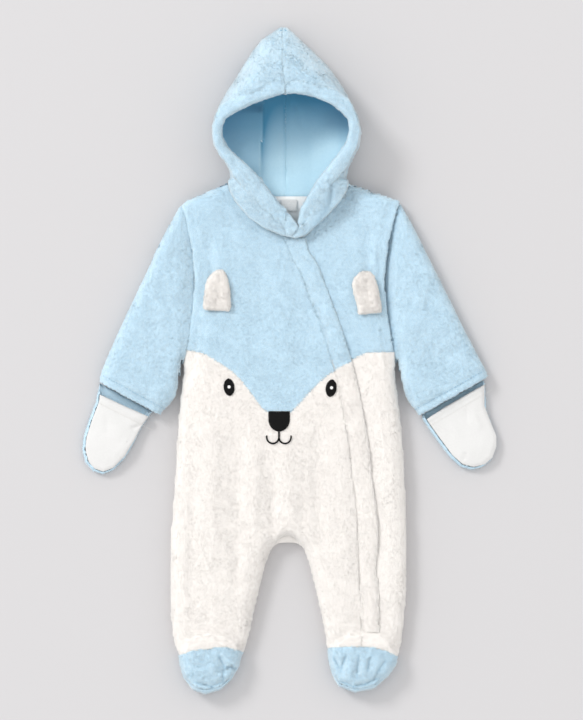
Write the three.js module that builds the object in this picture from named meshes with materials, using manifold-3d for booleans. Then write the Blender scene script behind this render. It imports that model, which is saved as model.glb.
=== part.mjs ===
// Footed baby sleepsuit with a hood, laid out flat on its back.
// Millimetres, +Z up from the floor, the head towards +Y. Left (-X) and right are as seen from above.
import * as THREE from 'three';
import { mergeVertices } from 'three/addons/utils/BufferGeometryUtils.js';
import loadKernel from 'manifold-3d';

const kernel = await loadKernel();
kernel.setup();
const { Manifold, Mesh } = kernel;

// Cloth and seam sizes
const WALL = 3.2;
const MITT_WALL = 1.8;
const SEAM_GAP = 0.3;
const SEAM_HEIGHT = 11;
const UNDER_ROUND = 11;
const BODY_EDGE = 26;
const LEG_EDGE = 24;
const SLEEVE_EDGE = 20;
const HOOD_EDGE = 30;

// Trims and small parts
const BAND_WIDTH = 25;
const BAND_LAP = 4;
const BAND_THICK = 4.2;
const BAND_PUFF_PITCH = 46;
const RIM_WIDTH = 13;
const RIM_HEIGHT = 12;
const EAR_THICK = 7;
const EAR_LIFT = 0.7;
const LAY_GAP = 0.35;
const MITT_HEIGHT = 13;
const FOOT_HEIGHT = 31;
const LINING_THICK = 1.6;
const LABEL = { width: 20, length: 14, thick: 1, x: 0.5, y: 186.3 };

const COLOURS = { blue: 0xbadef2, white: 0xf1eee8, label: 0xf7f7f5 };

// Body from the shoulders to the crotch: side lines and height of the front layer
const BODY = [
  { y: 214, left: -74, right: 72, top: 15 },
  { y: 207, left: -90, right: 92, top: 18 },
  { y: 200, left: -106, right: 112, top: 20 },
  { y: 192, left: -124, right: 134, top: 22 },
  { y: 183, left: -130, right: 132, top: 23 },
  { y: 164, left: -126, right: 130, top: 24 },
  { y: 140, left: -122, right: 126, top: 25 },
  { y: 121, left: -119, right: 121, top: 26 },
  { y: 92, left: -117, right: 119, top: 27 },
  { y: 58, left: -119, right: 121, top: 27.5 },
  { y: 30, left: -122, right: 125, top: 28 },
  { y: 12, left: -123, right: 126, top: 28 },
  { y: -22, left: -127, right: 129, top: 28 },
  { y: -46, left: -129.5, right: 132, top: 28 },
  { y: -70, left: -132, right: 135, top: 28 },
  { y: -94, left: -133.5, right: 137, top: 28 },
  { y: -118, left: -135, right: 139, top: 28 },
  { y: -141, left: -136, right: 140, top: 28 },
  { y: -165, left: -138, right: 141, top: 27.5 },
  { y: -186, left: -139, right: 141.5, top: 27 },
  { y: -198, left: -138.5, right: 141, top: 26.5 },
  { y: -208, left: -136, right: 138, top: 24.5 },
  { y: -216, left: -130, right: 132, top: 20.5 },
  { y: -225, left: -118, right: 120, top: 12.5 },
];

// Legs: outer and inner lines of each, and the height of the front layer
const LEGS = [
  { y: -178, leftOut: -134, leftIn: 6, rightIn: -8, rightOut: 136, top: 21 },
  { y: -192, leftOut: -140, leftIn: 1, rightIn: -3, rightOut: 142, top: 26.6 },
  { y: -206, leftOut: -141, leftIn: -5, rightIn: 3, rightOut: 142.5, top: 26.8 },
  { y: -213, leftOut: -141, leftIn: -13, rightIn: 10, rightOut: 142.5, top: 26.8 },
  { y: -222, leftOut: -141.5, leftIn: -19, rightIn: 17, rightOut: 142.5, top: 26.8 },
  { y: -242, leftOut: -142, leftIn: -27, rightIn: 24.5, rightOut: 142.5, top: 26.5 },
  { y: -274, leftOut: -142, leftIn: -35, rightIn: 32.5, rightOut: 142, top: 26 },
  { y: -306, leftOut: -141, leftIn: -42.5, rightIn: 39.5, rightOut: 139.5, top: 25 },
  { y: -326, leftOut: -139, leftIn: -46.5, rightIn: 43.5, rightOut: 137.5, top: 23.5 },
  { y: -338, leftOut: -137, leftIn: -50, rightIn: 45.5, rightOut: 136, top: 22 },
  { y: -352, leftOut: -132, leftIn: -54, rightIn: 46.5, rightOut: 133, top: 19 },
];

// Soft folds on the front: a line from start to end, its half width and its height
const FOLDS = [
  { x0: -115, y0: -20, x1: -116, y1: -330, width: 9, height: -1.4 },
  { x0: -91, y0: -40, x1: -92, y1: -320, width: 11, height: 1.2 },
  { x0: -61, y0: -70, x1: -64, y1: -320, width: 9, height: -1.5 },
  { x0: -43, y0: -80, x1: -41, y1: -215, width: 9, height: 1.2 },
  { x0: -25, y0: -90, x1: -20, y1: -215, width: 9, height: -1.7 },
  { x0: -1, y0: -80, x1: -1, y1: -200, width: 12, height: 1.2 },
  { x0: 33, y0: -60, x1: 37, y1: -230, width: 10, height: -1.5 },
  { x0: 62, y0: -50, x1: 70, y1: -320, width: 11, height: 1.0 },
  { x0: 127, y0: -10, x1: 131, y1: -320, width: 6, height: -0.8 },
  { x0: -100, y0: 165, x1: -88, y1: 60, width: 9, height: -1.6 },
  { x0: -84, y0: 150, x1: -74, y1: 40, width: 10, height: 1.2 },
  { x0: 97, y0: 165, x1: 90, y1: 60, width: 9, height: -1.6 },
  { x0: 50, y0: 60, x1: 12, y1: 120, width: 12, height: -1.0 },
  { x0: -20, y0: 130, x1: -10, y1: -40, width: 16, height: 1.3 },
];

// Sleeves: outer and lower edge points of each section, and the height
const SLEEVES = {
  left: [
    { outX: -108, outY: 190, inX: -98, inY: 30, top: 15 },
    { outX: -131, outY: 186, inX: -117, inY: 12, top: 23 },
    { outX: -150.5, outY: 151, inX: -126.5, inY: -1, top: 26 },
    { outX: -173, outY: 103, inX: -129.5, inY: -15, top: 26 },
    { outX: -190, outY: 67, inX: -131, inY: -28, top: 25.5 },
    { outX: -206, outY: 32, inX: -134, inY: -42, top: 25 },
    { outX: -219, outY: 3, inX: -142, inY: -53, top: 24 },
    { outX: -226.5, outY: -17, inX: -150, inY: -60, top: 23 },
    { outX: -227.5, outY: -25.5, inX: -152.5, inY: -66, top: 22 },
  ],
  right: [
    { outX: 112, outY: 194, inX: 100, inY: 30, top: 15 },
    { outX: 133, outY: 192, inX: 120, inY: 12, top: 23 },
    { outX: 154, outY: 154, inX: 129.5, inY: -1, top: 26 },
    { outX: 175, outY: 112, inX: 133, inY: -15, top: 26 },
    { outX: 193, outY: 76, inX: 135.5, inY: -28, top: 25.5 },
    { outX: 210, outY: 41, inX: 139, inY: -42, top: 25 },
    { outX: 226, outY: 10, inX: 145.5, inY: -53, top: 24 },
    { outX: 238, outY: -12, inX: 153, inY: -61, top: 23 },
    { outX: 240, outY: -19, inX: 155.5, inY: -67, top: 22 },
  ],
};

// Hood bag: side lines and height of the top
const HOOD = [
  { y: 196, left: -66, right: 66, top: 44 },
  { y: 213, left: -69, right: 68, top: 48 },
  { y: 229, left: -71, right: 70, top: 52 },
  { y: 244, left: -80, right: 77, top: 56 },
  { y: 258, left: -90, right: 84.5, top: 59 },
  { y: 275, left: -92, right: 87.5, top: 62 },
  { y: 292, left: -89, right: 83.5, top: 65 },
  { y: 308, left: -82, right: 75.5, top: 68.5 },
  { y: 324, left: -73, right: 67.5, top: 70 },
  { y: 340, left: -62.5, right: 57, top: 66 },
  { y: 356, left: -53.5, right: 44.5, top: 58 },
  { y: 371, left: -43, right: 29.5, top: 47 },
  { y: 384, left: -33, right: 15.5, top: 35 },
  { y: 394, left: -19, right: 5, top: 22 },
  { y: 400, left: -10, right: -2, top: 13 },
];

// Hood front below the chin: side lines and height, standing in the neckline
const COLLAR = [
  { y: 140, left: -75, right: 75, top: 34 },
  { y: 160, left: -75, right: 75, top: 37 },
  { y: 180, left: -75, right: 75, top: 41 },
  { y: 200, left: -75, right: 75, top: 45 },
  { y: 222, left: -75, right: 75, top: 50 },
];

// Plan lines, each a table of points from one end to the other
const NECKLINE = [
  { x: -71, y: 216 }, { x: -70, y: 206 }, { x: -62, y: 191 }, { x: -46, y: 172 },
  { x: -27, y: 160 }, { x: -9, y: 152 }, { x: 8, y: 148 }, { x: 20, y: 151 },
  { x: 33, y: 163 }, { x: 46, y: 175 }, { x: 60, y: 191 }, { x: 69, y: 206 }, { x: 70.5, y: 216 },
];
const BACK_NECK_Y = 196;
const HOOD_OPENING = [
  { x: 12.5, y: 166 }, { x: 15.5, y: 183 }, { x: 23, y: 196.5 }, { x: 33, y: 214 },
  { x: 47, y: 232 }, { x: 60, y: 247 }, { x: 69.5, y: 262 }, { x: 72.5, y: 276 }, { x: 71, y: 288 },
  { x: 63, y: 297 }, { x: 50, y: 307 }, { x: 30, y: 315 }, { x: 9, y: 319 },
  { x: -8, y: 318 }, { x: -27, y: 312 }, { x: -46, y: 305 }, { x: -62, y: 297 },
  { x: -75, y: 289 }, { x: -79, y: 279 }, { x: -79, y: 268 }, { x: -72, y: 254, wide: 1.1 },
  { x: -55, y: 239, wide: 1.25 }, { x: -33, y: 218, wide: 1.4 }, { x: -18, y: 197, wide: 1.4 },
  { x: -3, y: 180, wide: 1.3 }, { x: 11, y: 163, wide: 1.25 },
];
const WAIST_OVERLAP = [
  { x: -150, y: 14 }, { x: -123, y: 14 }, { x: -100, y: 9 }, { x: -84, y: -1 }, { x: -68, y: -12 },
  { x: -54, y: -26 }, { x: -42, y: -42 }, { x: -31, y: -57 }, { x: -24, y: -61 }, { x: 3, y: -61 },
  { x: 14, y: -50 }, { x: 28, y: -34 }, { x: 44, y: -19 }, { x: 60, y: -8 }, { x: 76, y: 0 },
  { x: 84, y: 3 },
];
const WAIST_UNDERLAP = [{ x: 36, y: 1 }, { x: 76, y: 2.5 }, { x: 94, y: 10 }, { x: 150, y: 11 }];
const WAIST_BACK = [{ x: -150, y: 14 }, { x: 150, y: 12 }];
const PLACKET_EDGE = [
  { y: 151, x: 20 }, { y: 132, x: 24.5 }, { y: 114, x: 37 }, { y: 82, x: 48 }, { y: 47, x: 62 },
  { y: 1, x: 76 }, { y: -24, x: 83 }, { y: -54, x: 89 }, { y: -97, x: 96.5 }, { y: -141, x: 101 },
  { y: -177, x: 106 }, { y: -214, x: 108 }, { y: -251, x: 109 }, { y: -290, x: 111 },
  { y: -344, x: 112 },
];
const ARMHOLES = {
  left: [
    { x: -136, y: 205 }, { x: -127, y: 183 }, { x: -117, y: 145 }, { x: -113, y: 118 },
    { x: -112, y: 92 }, { x: -115, y: 58 }, { x: -119, y: 32 }, { x: -123.5, y: 8 },
    { x: -125.4, y: -6 },
  ],
  right: [
    { x: 139, y: 207 }, { x: 128, y: 178 }, { x: 120, y: 145 }, { x: 116, y: 118 },
    { x: 114.5, y: 92 }, { x: 117.5, y: 58 }, { x: 122, y: 32 }, { x: 126.5, y: 8 },
    { x: 128.2, y: -6 },
  ],
};
const ANKLES = {
  left: [
    { x: -150, y: -358 }, { x: -130, y: -353 }, { x: -112, y: -346 }, { x: -89, y: -343 },
    { x: -73, y: -343 }, { x: -57, y: -348 }, { x: -40, y: -352 },
  ],
  right: [
    { x: 30, y: -345 }, { x: 47, y: -344 }, { x: 85, y: -341 }, { x: 110, y: -344 },
    { x: 122, y: -350 }, { x: 150, y: -364 },
  ],
};

// Arch between the legs, where the front ends, and the strip of the back that shows below it
const CROTCH_ARCH = [
  { x: -22, y: -229 }, { x: 20, y: -229 }, { x: 17.5, y: -224 }, { x: 13.5, y: -218 },
  { x: 9, y: -213.5 }, { x: 4, y: -210.5 }, { x: -1, y: -209.5 }, { x: -6, y: -210.5 },
  { x: -11, y: -213.5 }, { x: -15.5, y: -218 }, { x: -19.5, y: -224 },
];
const ARCH_LEVELS = [
  { z: -5, grow: 0 }, { z: 13, grow: 0 }, { z: 18, grow: 1.2 }, { z: 22, grow: 3.4 },
  { z: 25, grow: 7 }, { z: 40, grow: 8 },
];
const CROTCH_LIP = [
  { x: -26, y: -212 }, { x: -22, y: -227 }, { x: -14, y: -221 }, { x: -4, y: -218.5 },
  { x: 6, y: -219 }, { x: 13.5, y: -221.5 }, { x: 20, y: -227 }, { x: 24, y: -212 },
  { x: -1, y: -201 },
];

// Outlines of the feet and mitts, anticlockwise, running up inside the legs and sleeves
const FEET = {
  left: [
    { x: -131, y: -346 }, { x: -132, y: -360 }, { x: -126.5, y: -380 }, { x: -115, y: -395 },
    { x: -100, y: -400 }, { x: -81, y: -394.5 }, { x: -67, y: -381 }, { x: -58.5, y: -366 },
    { x: -55, y: -351 }, { x: -58, y: -334 }, { x: -75, y: -322 }, { x: -95, y: -319 },
    { x: -115, y: -323 }, { x: -127, y: -333 },
  ],
  right: [
    { x: 46, y: -348 }, { x: 47.5, y: -362 }, { x: 52, y: -377 }, { x: 59, y: -390 },
    { x: 79, y: -398 }, { x: 103, y: -393 }, { x: 120, y: -378 }, { x: 130, y: -364 },
    { x: 132, y: -350 }, { x: 126, y: -333 }, { x: 112, y: -322 }, { x: 92, y: -319 },
    { x: 70, y: -322 }, { x: 53, y: -333 },
  ],
};
const MITTS = {
  left: [
    { x: -225.5, y: -20 }, { x: -231, y: -49 }, { x: -239, y: -70 }, { x: -246, y: -92 },
    { x: -247.5, y: -107 }, { x: -243.5, y: -122 }, { x: -235, y: -132 }, { x: -223, y: -136 },
    { x: -210, y: -131 }, { x: -196, y: -116 }, { x: -186, y: -99 }, { x: -177, y: -80 },
    { x: -166, y: -64 }, { x: -152, y: -48 },
  ],
  right: [
    { x: 155, y: -48 }, { x: 160, y: -69 }, { x: 167, y: -80 }, { x: 180, y: -98 },
    { x: 193, y: -115 }, { x: 206, y: -127 }, { x: 220, y: -130.5 }, { x: 233, y: -127 },
    { x: 243, y: -118 }, { x: 248, y: -104 }, { x: 248.5, y: -91 }, { x: 243, y: -76 },
    { x: 237, y: -58 }, { x: 235, y: -12 },
  ],
};
const MITT_FRONT_LINES = {
  left: { outX: -250, outY: -28, inX: -150, inY: -76 },
  right: { outX: 262, outY: -16, inX: 150, inY: -83 },
};

// Outlines of the ears on the chest, anticlockwise from the sewn lower edge
const EARS = {
  left: [
    { x: -99.5, y: 62.5 }, { x: -71.5, y: 61 }, { x: -70, y: 65 }, { x: -70.5, y: 75 },
    { x: -71.5, y: 86 }, { x: -73.5, y: 97 }, { x: -76, y: 103.5 }, { x: -79, y: 107.5 },
    { x: -86, y: 107.5 }, { x: -92.5, y: 102 }, { x: -96, y: 97 }, { x: -98.3, y: 90 },
    { x: -99.6, y: 78 }, { x: -101, y: 67 },
  ],
  right: [
    { x: 84.5, y: 57 }, { x: 109.5, y: 59.3 }, { x: 110.3, y: 64 }, { x: 108.4, y: 74.5 },
    { x: 106.4, y: 86.5 }, { x: 103.8, y: 95.5 }, { x: 101, y: 101.5 }, { x: 97, y: 105.5 },
    { x: 87.5, y: 106 }, { x: 80.6, y: 99.5 }, { x: 77.2, y: 91.9 }, { x: 78.6, y: 82.6 },
    { x: 81.3, y: 73.2 }, { x: 83.6, y: 63.8 },
  ],
};

function along(table, key, name, at) {
  const rising = table[table.length - 1][key] > table[0][key];
  const rows = rising ? table : [...table].reverse();
  if (at <= rows[0][key]) return rows[0][name];
  for (let i = 1; i < rows.length; i += 1) {
    const low = rows[i - 1];
    const high = rows[i];
    if (at <= high[key]) {
      const part = (at - low[key]) / (high[key] - low[key]);
      return low[name] + (high[name] - low[name]) * part;
    }
  }
  return rows[rows.length - 1][name];
}

// Height that the folds add to the front at a plan point
function relief(x, y) {
  let sum = 0;
  for (const fold of FOLDS) {
    const dx = fold.x1 - fold.x0;
    const dy = fold.y1 - fold.y0;
    const part = ((x - fold.x0) * dx + (y - fold.y0) * dy) / (dx * dx + dy * dy);
    const near = Math.min(1, Math.max(0, part));
    const off = Math.hypot(x - fold.x0 - dx * near, y - fold.y0 - dy * near) / fold.width;
    sum += fold.height * Math.exp(-off * off) * Math.min(1, 6 * near + 0.2, 6 * (1 - near) + 0.2);
  }
  return sum;
}

// Outer height of the front layer at a plan point, between the side lines
function frontHeight(x, y) {
  const left = along(BODY, 'y', 'left', y);
  const right = along(BODY, 'y', 'right', y);
  const top = y > -200 ? along(BODY, 'y', 'top', y) : along(LEGS, 'y', 'top', y);
  const inward = Math.min(x - left, right - x, BODY_EDGE) / BODY_EDGE;
  const rise = Math.sqrt(Math.max(0, 1 - (1 - inward) ** 2));
  return SEAM_HEIGHT + (top + relief(x, y) - SEAM_HEIGHT) * rise;
}

// Closed solid from points and triangles, turned outward
function closed(points, triangles) {
  let volume = 0;
  for (const [a, b, c] of triangles) {
    const [p, q, r] = [points[a], points[b], points[c]];
    volume += p[0] * (q[1] * r[2] - q[2] * r[1]);
    volume += p[1] * (q[2] * r[0] - q[0] * r[2]);
    volume += p[2] * (q[0] * r[1] - q[1] * r[0]);
  }
  const turned = volume < 0 ? triangles.map(([a, b, c]) => [a, c, b]) : triangles;
  const mesh = new Mesh({
    numProp: 3,
    vertProperties: new Float32Array(points.flat()),
    triVerts: new Uint32Array(turned.flat()),
  });
  return new Manifold(mesh);
}

// Solid through rings of points, closed with a fan at each end
function loft(rings) {
  const count = rings[0].length;
  const points = rings.flat();
  const triangles = [];
  for (let i = 0; i < rings.length - 1; i += 1) {
    for (let j = 0; j < count; j += 1) {
      const a = i * count + j;
      const b = i * count + ((j + 1) % count);
      triangles.push([a, b, b + count], [a, b + count, a + count]);
    }
  }
  for (const end of [0, rings.length - 1]) {
    const centre = [0, 1, 2].map((k) => rings[end].reduce((sum, p) => sum + p[k], 0) / count);
    points.push(centre);
    for (let j = 0; j < count; j += 1) {
      const a = end * count + j;
      const b = end * count + ((j + 1) % count);
      triangles.push(end ? [a, b, points.length - 1] : [b, a, points.length - 1]);
    }
  }
  return closed(points, triangles);
}

// Upright ring between two plan points: flat underneath, rounded sides, softly folded top
function ring(from, to, shape) {
  const { top, edge, inset = 0, over = 8, under = 4, floor = 0, seam = SEAM_HEIGHT } = shape;
  const span = Math.hypot(to.x - from.x, to.y - from.y);
  const reach = Math.max(1, Math.min(edge, span * 0.48) - inset);
  const heel = Math.max(1, Math.min(UNDER_ROUND, span * 0.48) - inset);
  const low = floor + inset;
  const high = Math.max(top - inset, low + 1);
  const level = Math.min(seam, (low + high) / 2);
  const points = [];
  const put = (distance, z, rise) => {
    const x = from.x + ((to.x - from.x) * distance) / span;
    const y = from.y + ((to.y - from.y) * distance) / span;
    points.push([x, y, z + (shape.folded ? relief(x, y) * rise : 0)]);
  };
  const lower = (k, side) => {
    const turn = (k * Math.PI) / 6;
    const distance = inset + heel * (1 - Math.cos(turn));
    put(side ? span - distance : distance, level - (level - low) * Math.sin(turn), 0);
  };
  const upper = (k, side) => {
    const turn = (k * Math.PI) / 8;
    const distance = inset + reach * (1 - Math.cos(turn));
    const z = level + (high - level) * Math.sin(turn);
    put(side ? span - distance : distance, z, Math.sin(turn));
  };
  for (let k = 0; k < 3; k += 1) lower(k, false);
  for (let k = 0; k <= under; k += 1) {
    put(inset + heel + ((span - 2 * (inset + heel)) * k) / under, low, 0);
  }
  for (let k = 2; k >= 0; k -= 1) lower(k, true);
  for (let k = 1; k < 4; k += 1) upper(k, true);
  for (let k = over; k >= 0; k -= 1) {
    put(inset + reach + ((span - 2 * (inset + reach)) * k) / over, high, 1);
  }
  for (let k = 3; k >= 1; k -= 1) upper(k, false);
  return points;
}

// Plan outline moved inward by a distance
function inward(outline, distance) {
  const count = outline.length;
  return outline.map((point, i) => {
    const before = outline[(i + count - 1) % count];
    const after = outline[(i + 1) % count];
    const length = Math.hypot(after.x - before.x, after.y - before.y);
    return {
      x: point.x - ((after.y - before.y) / length) * distance,
      y: point.y + ((after.x - before.x) / length) * distance,
    };
  });
}

// Cushion on an outline, each level a share of the outline's size and of the height
function cushion(outline, centre, levels, base, height) {
  const rings = levels.map(({ size, lift }) => outline.map((point) => {
    const x = centre.x + (point.x - centre.x) * size;
    const y = centre.y + (point.y - centre.y) * size;
    return [x, y, base(x, y) + height * lift];
  }));
  return loft(rings);
}

// Solid from a closed three.js geometry
function solidFrom(geometry) {
  const bare = geometry.clone();
  bare.deleteAttribute('normal');
  bare.deleteAttribute('uv');
  const merged = mergeVertices(bare, 1e-4);
  const mesh = new Mesh({
    numProp: 3,
    vertProperties: new Float32Array(merged.attributes.position.array),
    triVerts: new Uint32Array(merged.index.array),
  });
  return new Manifold(mesh);
}

function block(width, length, height, centre) {
  return solidFrom(new THREE.BoxGeometry(width, length, height)).translate(centre);
}

// Upright solid on an anticlockwise plan outline
function prism(outline, low, high) {
  const shape = new THREE.Shape(outline.map(({ x, y }) => new THREE.Vector2(x, y)));
  const geometry = new THREE.ExtrudeGeometry(shape, { depth: high - low, bevelEnabled: false });
  return solidFrom(geometry).translate([0, 0, low]);
}

// Upright sheet as thin as a seam gap, along a plan line
function seamSheet(line, low = -5, high = 120) {
  return loft(line.map((point, i) => {
    const before = line[Math.max(0, i - 1)];
    const after = line[Math.min(line.length - 1, i + 1)];
    const length = Math.hypot(after.x - before.x, after.y - before.y);
    const dx = (-(after.y - before.y) / length) * (SEAM_GAP / 2);
    const dy = ((after.x - before.x) / length) * (SEAM_GAP / 2);
    return [
      [point.x + dx, point.y + dy, low], [point.x - dx, point.y - dy, low],
      [point.x - dx, point.y - dy, high], [point.x + dx, point.y + dy, high],
    ];
  }));
}

function levelSeam(height) {
  return block(700, 900, SEAM_GAP, [0, 0, height]);
}

// The piece of a cut solid that a probe point lies in
function pieceAt(solid, x, y, z, reach = 4) {
  const probe = block(reach, reach, reach, [x, y, z]);
  const found = solid.decompose().find((piece) => !piece.intersect(probe).isEmpty());
  if (!found) throw new Error(`no piece at ${x}, ${y}, ${z}`);
  return found;
}

const union = (...solids) => Manifold.union(solids);

// Body, legs, sleeves and feet as one skin: outer form less inner form
function bodyForm(inset) {
  return loft(BODY.map((row) => ring({ x: row.left, y: row.y }, { x: row.right, y: row.y }, {
    top: row.top, edge: BODY_EDGE, inset, over: inset ? 14 : 22, under: 4, folded: true,
  })));
}

function legForm(side, inset) {
  return loft(LEGS.map((row) => {
    const outer = { x: row[`${side}Out`], y: row.y };
    const inner = { x: row[`${side}In`], y: row.y };
    const [from, to] = side === 'left' ? [outer, inner] : [inner, outer];
    return ring(from, to, { top: row.top, edge: LEG_EDGE, inset, over: 6, folded: true });
  }));
}

function sleeveForm(side, inset) {
  const rows = SLEEVES[side];
  const last = rows[rows.length - 1];
  const before = rows[rows.length - 2];
  const run = inset ? 1 : 0;
  const beyond = {
    outX: last.outX + (last.outX - before.outX) * run,
    outY: last.outY + (last.outY - before.outY) * run,
    inX: last.inX + (last.inX - before.inX) * run,
    inY: last.inY + (last.inY - before.inY) * run,
    top: last.top,
  };
  const stations = inset ? [...rows, beyond] : rows;
  return loft(stations.map((row) => {
    const outer = { x: row.outX, y: row.outY };
    const inner = { x: row.inX, y: row.inY };
    const [from, to] = side === 'left' ? [outer, inner] : [inner, outer];
    return ring(from, to, { top: row.top, edge: SLEEVE_EDGE, inset, over: 4, under: 2 });
  }));
}

const FOOT_LEVELS = [
  { size: 0.4, lift: 0 }, { size: 0.86, lift: 0 }, { size: 0.955, lift: 0.1 },
  { size: 1, lift: 0.36 }, { size: 0.96, lift: 0.64 }, { size: 0.84, lift: 0.87 },
  { size: 0.6, lift: 0.98 }, { size: 0.25, lift: 1 },
];

function footForm(side, inset) {
  const outline = inset ? inward(FEET[side], inset) : FEET[side];
  const centre = { x: side === 'left' ? -94 : 89, y: -360 };
  return cushion(outline, centre, FOOT_LEVELS, () => inset, FOOT_HEIGHT - 2 * inset);
}

function archForm(grown) {
  return loft(ARCH_LEVELS.map(({ z, grow }) => (
    inward(CROTCH_ARCH, -grow - grown).map(({ x, y }) => [x, y, z])
  )));
}

function wholeForm(inset) {
  const sides = ['left', 'right'];
  return union(
    bodyForm(inset).subtract(archForm(inset)),
    ...sides.map((side) => legForm(side, inset)),
    ...sides.map((side) => sleeveForm(side, inset)),
    ...sides.map((side) => footForm(side, inset)),
  );
}

const lip = prism(CROTCH_LIP, 3, 7);
const skin = union(wholeForm(0), lip).subtract(wholeForm(WALL));

const limbSeams = union(
  seamSheet(ARMHOLES.left), seamSheet(ARMHOLES.right),
  seamSheet(ANKLES.left), seamSheet(ANKLES.right),
);
const apart = skin.subtract(limbSeams);
const trunk = pieceAt(apart, 0, -100, 1.5);
const neckPrism = prism(NECKLINE, -5, 80);
const backNeck = neckPrism.intersect(block(300, 60, 90, [0, BACK_NECK_Y + 30, 40]));
const layers = trunk.subtract(levelSeam(SEAM_HEIGHT)).subtract(backNeck);
const backWhole = pieceAt(layers, 0, -100, 1.5);
const frontWhole = pieceAt(layers, 0, -100, 27, 6).subtract(neckPrism);

// Line under the band where the overlapping front ends
const edgeX = (y) => along(PLACKET_EDGE, 'y', 'x', y);
const stitchLine = PLACKET_EDGE.map((row) => ({ x: row.x - BAND_WIDTH, y: row.y }));
const frontCut = [{ x: -5, y: 230 }, ...stitchLine, { x: 87, y: -370 }];
const fronts = frontWhole.subtract(seamSheet(frontCut));
const overlap = pieceAt(fronts, -80, 30, 27, 8).subtract(seamSheet(WAIST_OVERLAP));
const underlap = pieceAt(fronts, 90, -60, 27, 8).subtract(seamSheet(WAIST_UNDERLAP));
const backs = backWhole.subtract(seamSheet(WAIST_BACK));

// Placket band, made from the points of the front under it, moved out
function placketStrip() {
  const rows = [];
  const steps = 32;
  const shares = [0, 0.1, 0.3, 0.55, 0.8, 0.94, 1];
  const puffs = [0.3, 0.75, 1, 1.05, 1, 0.8, 0.35];
  for (let i = 0; i <= steps; i += 1) {
    const y = 147 - ((147 + 338) * i) / steps;
    const right = edgeX(y);
    const left = right - BAND_WIDTH - BAND_LAP;
    const quilt = 0.9 + 0.1 * Math.cos((2 * Math.PI * (y - 10)) / BAND_PUFF_PITCH);
    const under = [];
    const over = [];
    shares.forEach((share, j) => {
      const x = left + (right - left) * share;
      const z = frontHeight(x, y) + 0.7;
      under.push([x, y, z]);
      over.push([x, y, z + BAND_THICK * puffs[j] * quilt]);
    });
    rows.push([...under, ...over.reverse()]);
  }
  return loft(rows);
}
const band = placketStrip()
  .subtract(frontWhole.translate([0, 0, LAY_GAP]))
  .subtract(seamSheet(WAIST_OVERLAP));

// Ears: the chest's points under them, moved out
function ear(outline) {
  const centre = {
    x: outline.reduce((sum, point) => sum + point.x, 0) / outline.length,
    y: outline.reduce((sum, point) => sum + point.y, 0) / outline.length,
  };
  const levels = [
    { size: 0.3, lift: 0 }, { size: 0.65, lift: 0 }, { size: 0.93, lift: 0 },
    { size: 1, lift: 0.35 }, { size: 0.92, lift: 0.75 }, { size: 0.7, lift: 0.97 },
    { size: 0.3, lift: 1.05 },
  ];
  const pad = cushion(
    outline, centre, levels, (x, y) => frontHeight(x, y) + EAR_LIFT, EAR_THICK,
  );
  return pad.subtract(frontWhole.translate([0, 0, LAY_GAP]));
}

// Mitts: a pouch on the floor past the sleeve hem, its front set in the back's raised border
function half(line, low, high, gap) {
  const dx = line.inX - line.outX;
  const dy = line.inY - line.outY;
  const length = Math.hypot(dx, dy);
  const flip = line.outX < 0 ? 1 : -1;
  const nx = (dy / length) * flip;
  const ny = (-dx / length) * flip;
  const near = [
    { x: line.outX + nx * gap, y: line.outY + ny * gap },
    { x: line.inX + nx * gap, y: line.inY + ny * gap },
  ];
  const far = [
    { x: line.inX + nx * 140, y: line.inY + ny * 140 },
    { x: line.outX + nx * 140, y: line.outY + ny * 140 },
  ];
  return prism([...near, ...far], low, high);
}

// The line of the sleeve's hem, run on past both of its ends
function hemLine(side) {
  const { outX, outY, inX, inY } = SLEEVES[side][SLEEVES[side].length - 1];
  const past = 0.3;
  return {
    outX: outX - (inX - outX) * past,
    outY: outY - (inY - outY) * past,
    inX: inX + (inX - outX) * past,
    inY: inY + (inY - outY) * past,
  };
}

const MITT_LEVELS = [
  { size: 0.4, lift: 0 }, { size: 0.92, lift: 0 }, { size: 0.98, lift: 0.12 },
  { size: 1, lift: 0.38 }, { size: 0.965, lift: 0.66 }, { size: 0.86, lift: 0.9 },
  { size: 0.6, lift: 1 }, { size: 0.3, lift: 1.03 },
];
const MITT_SEAM = 5;
const MITT_BORDER = 3;
const MITT_SHIFT = [1.4, 0.8, 0];

function mitt(side) {
  const centre = { x: side === 'left' ? -205 : 208, y: -80 };
  const outer = cushion(MITTS[side], centre, MITT_LEVELS, () => 0, MITT_HEIGHT);
  const pocket = cushion(
    inward(MITTS[side], 2.6), centre, MITT_LEVELS, () => WALL, MITT_HEIGHT - WALL - MITT_WALL,
  );
  const skinned = outer.subtract(pocket);
  const within = (border, low) => (
    prism(inward(MITTS[side], border), low, 60).translate(MITT_SHIFT)
  );
  const face = within(MITT_BORDER, MITT_SEAM);
  const mouthOver = within(MITT_BORDER - SEAM_GAP, MITT_SEAM - SEAM_GAP);
  return {
    back: skinned.subtract(mouthOver).intersect(half(hemLine(side), -5, 60, SEAM_GAP)),
    front: skinned.intersect(face).intersect(half(MITT_FRONT_LINES[side], -5, 60, 0)),
  };
}

// Hood: a bag with its mouth upward, and the part below the chin that stands in the neckline
function bagForm(inset) {
  const rows = inset ? [{ ...HOOD[0], y: 190 }, ...HOOD] : HOOD;
  return loft(rows.map((row, i) => {
    const taper = row.y > 330 ? Math.min(1, (row.y - 330) / 40) : 0;
    const end = inset && i === rows.length - 1;
    const y = end ? row.y - inset : row.y;
    return ring({ x: row.left, y }, { x: row.right, y }, {
      top: row.top, edge: HOOD_EDGE + 16 * taper, inset: end ? inset * 0.5 : inset,
      over: 6, under: 3, seam: 14 + 8 * (1 - taper),
    });
  }));
}

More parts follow.
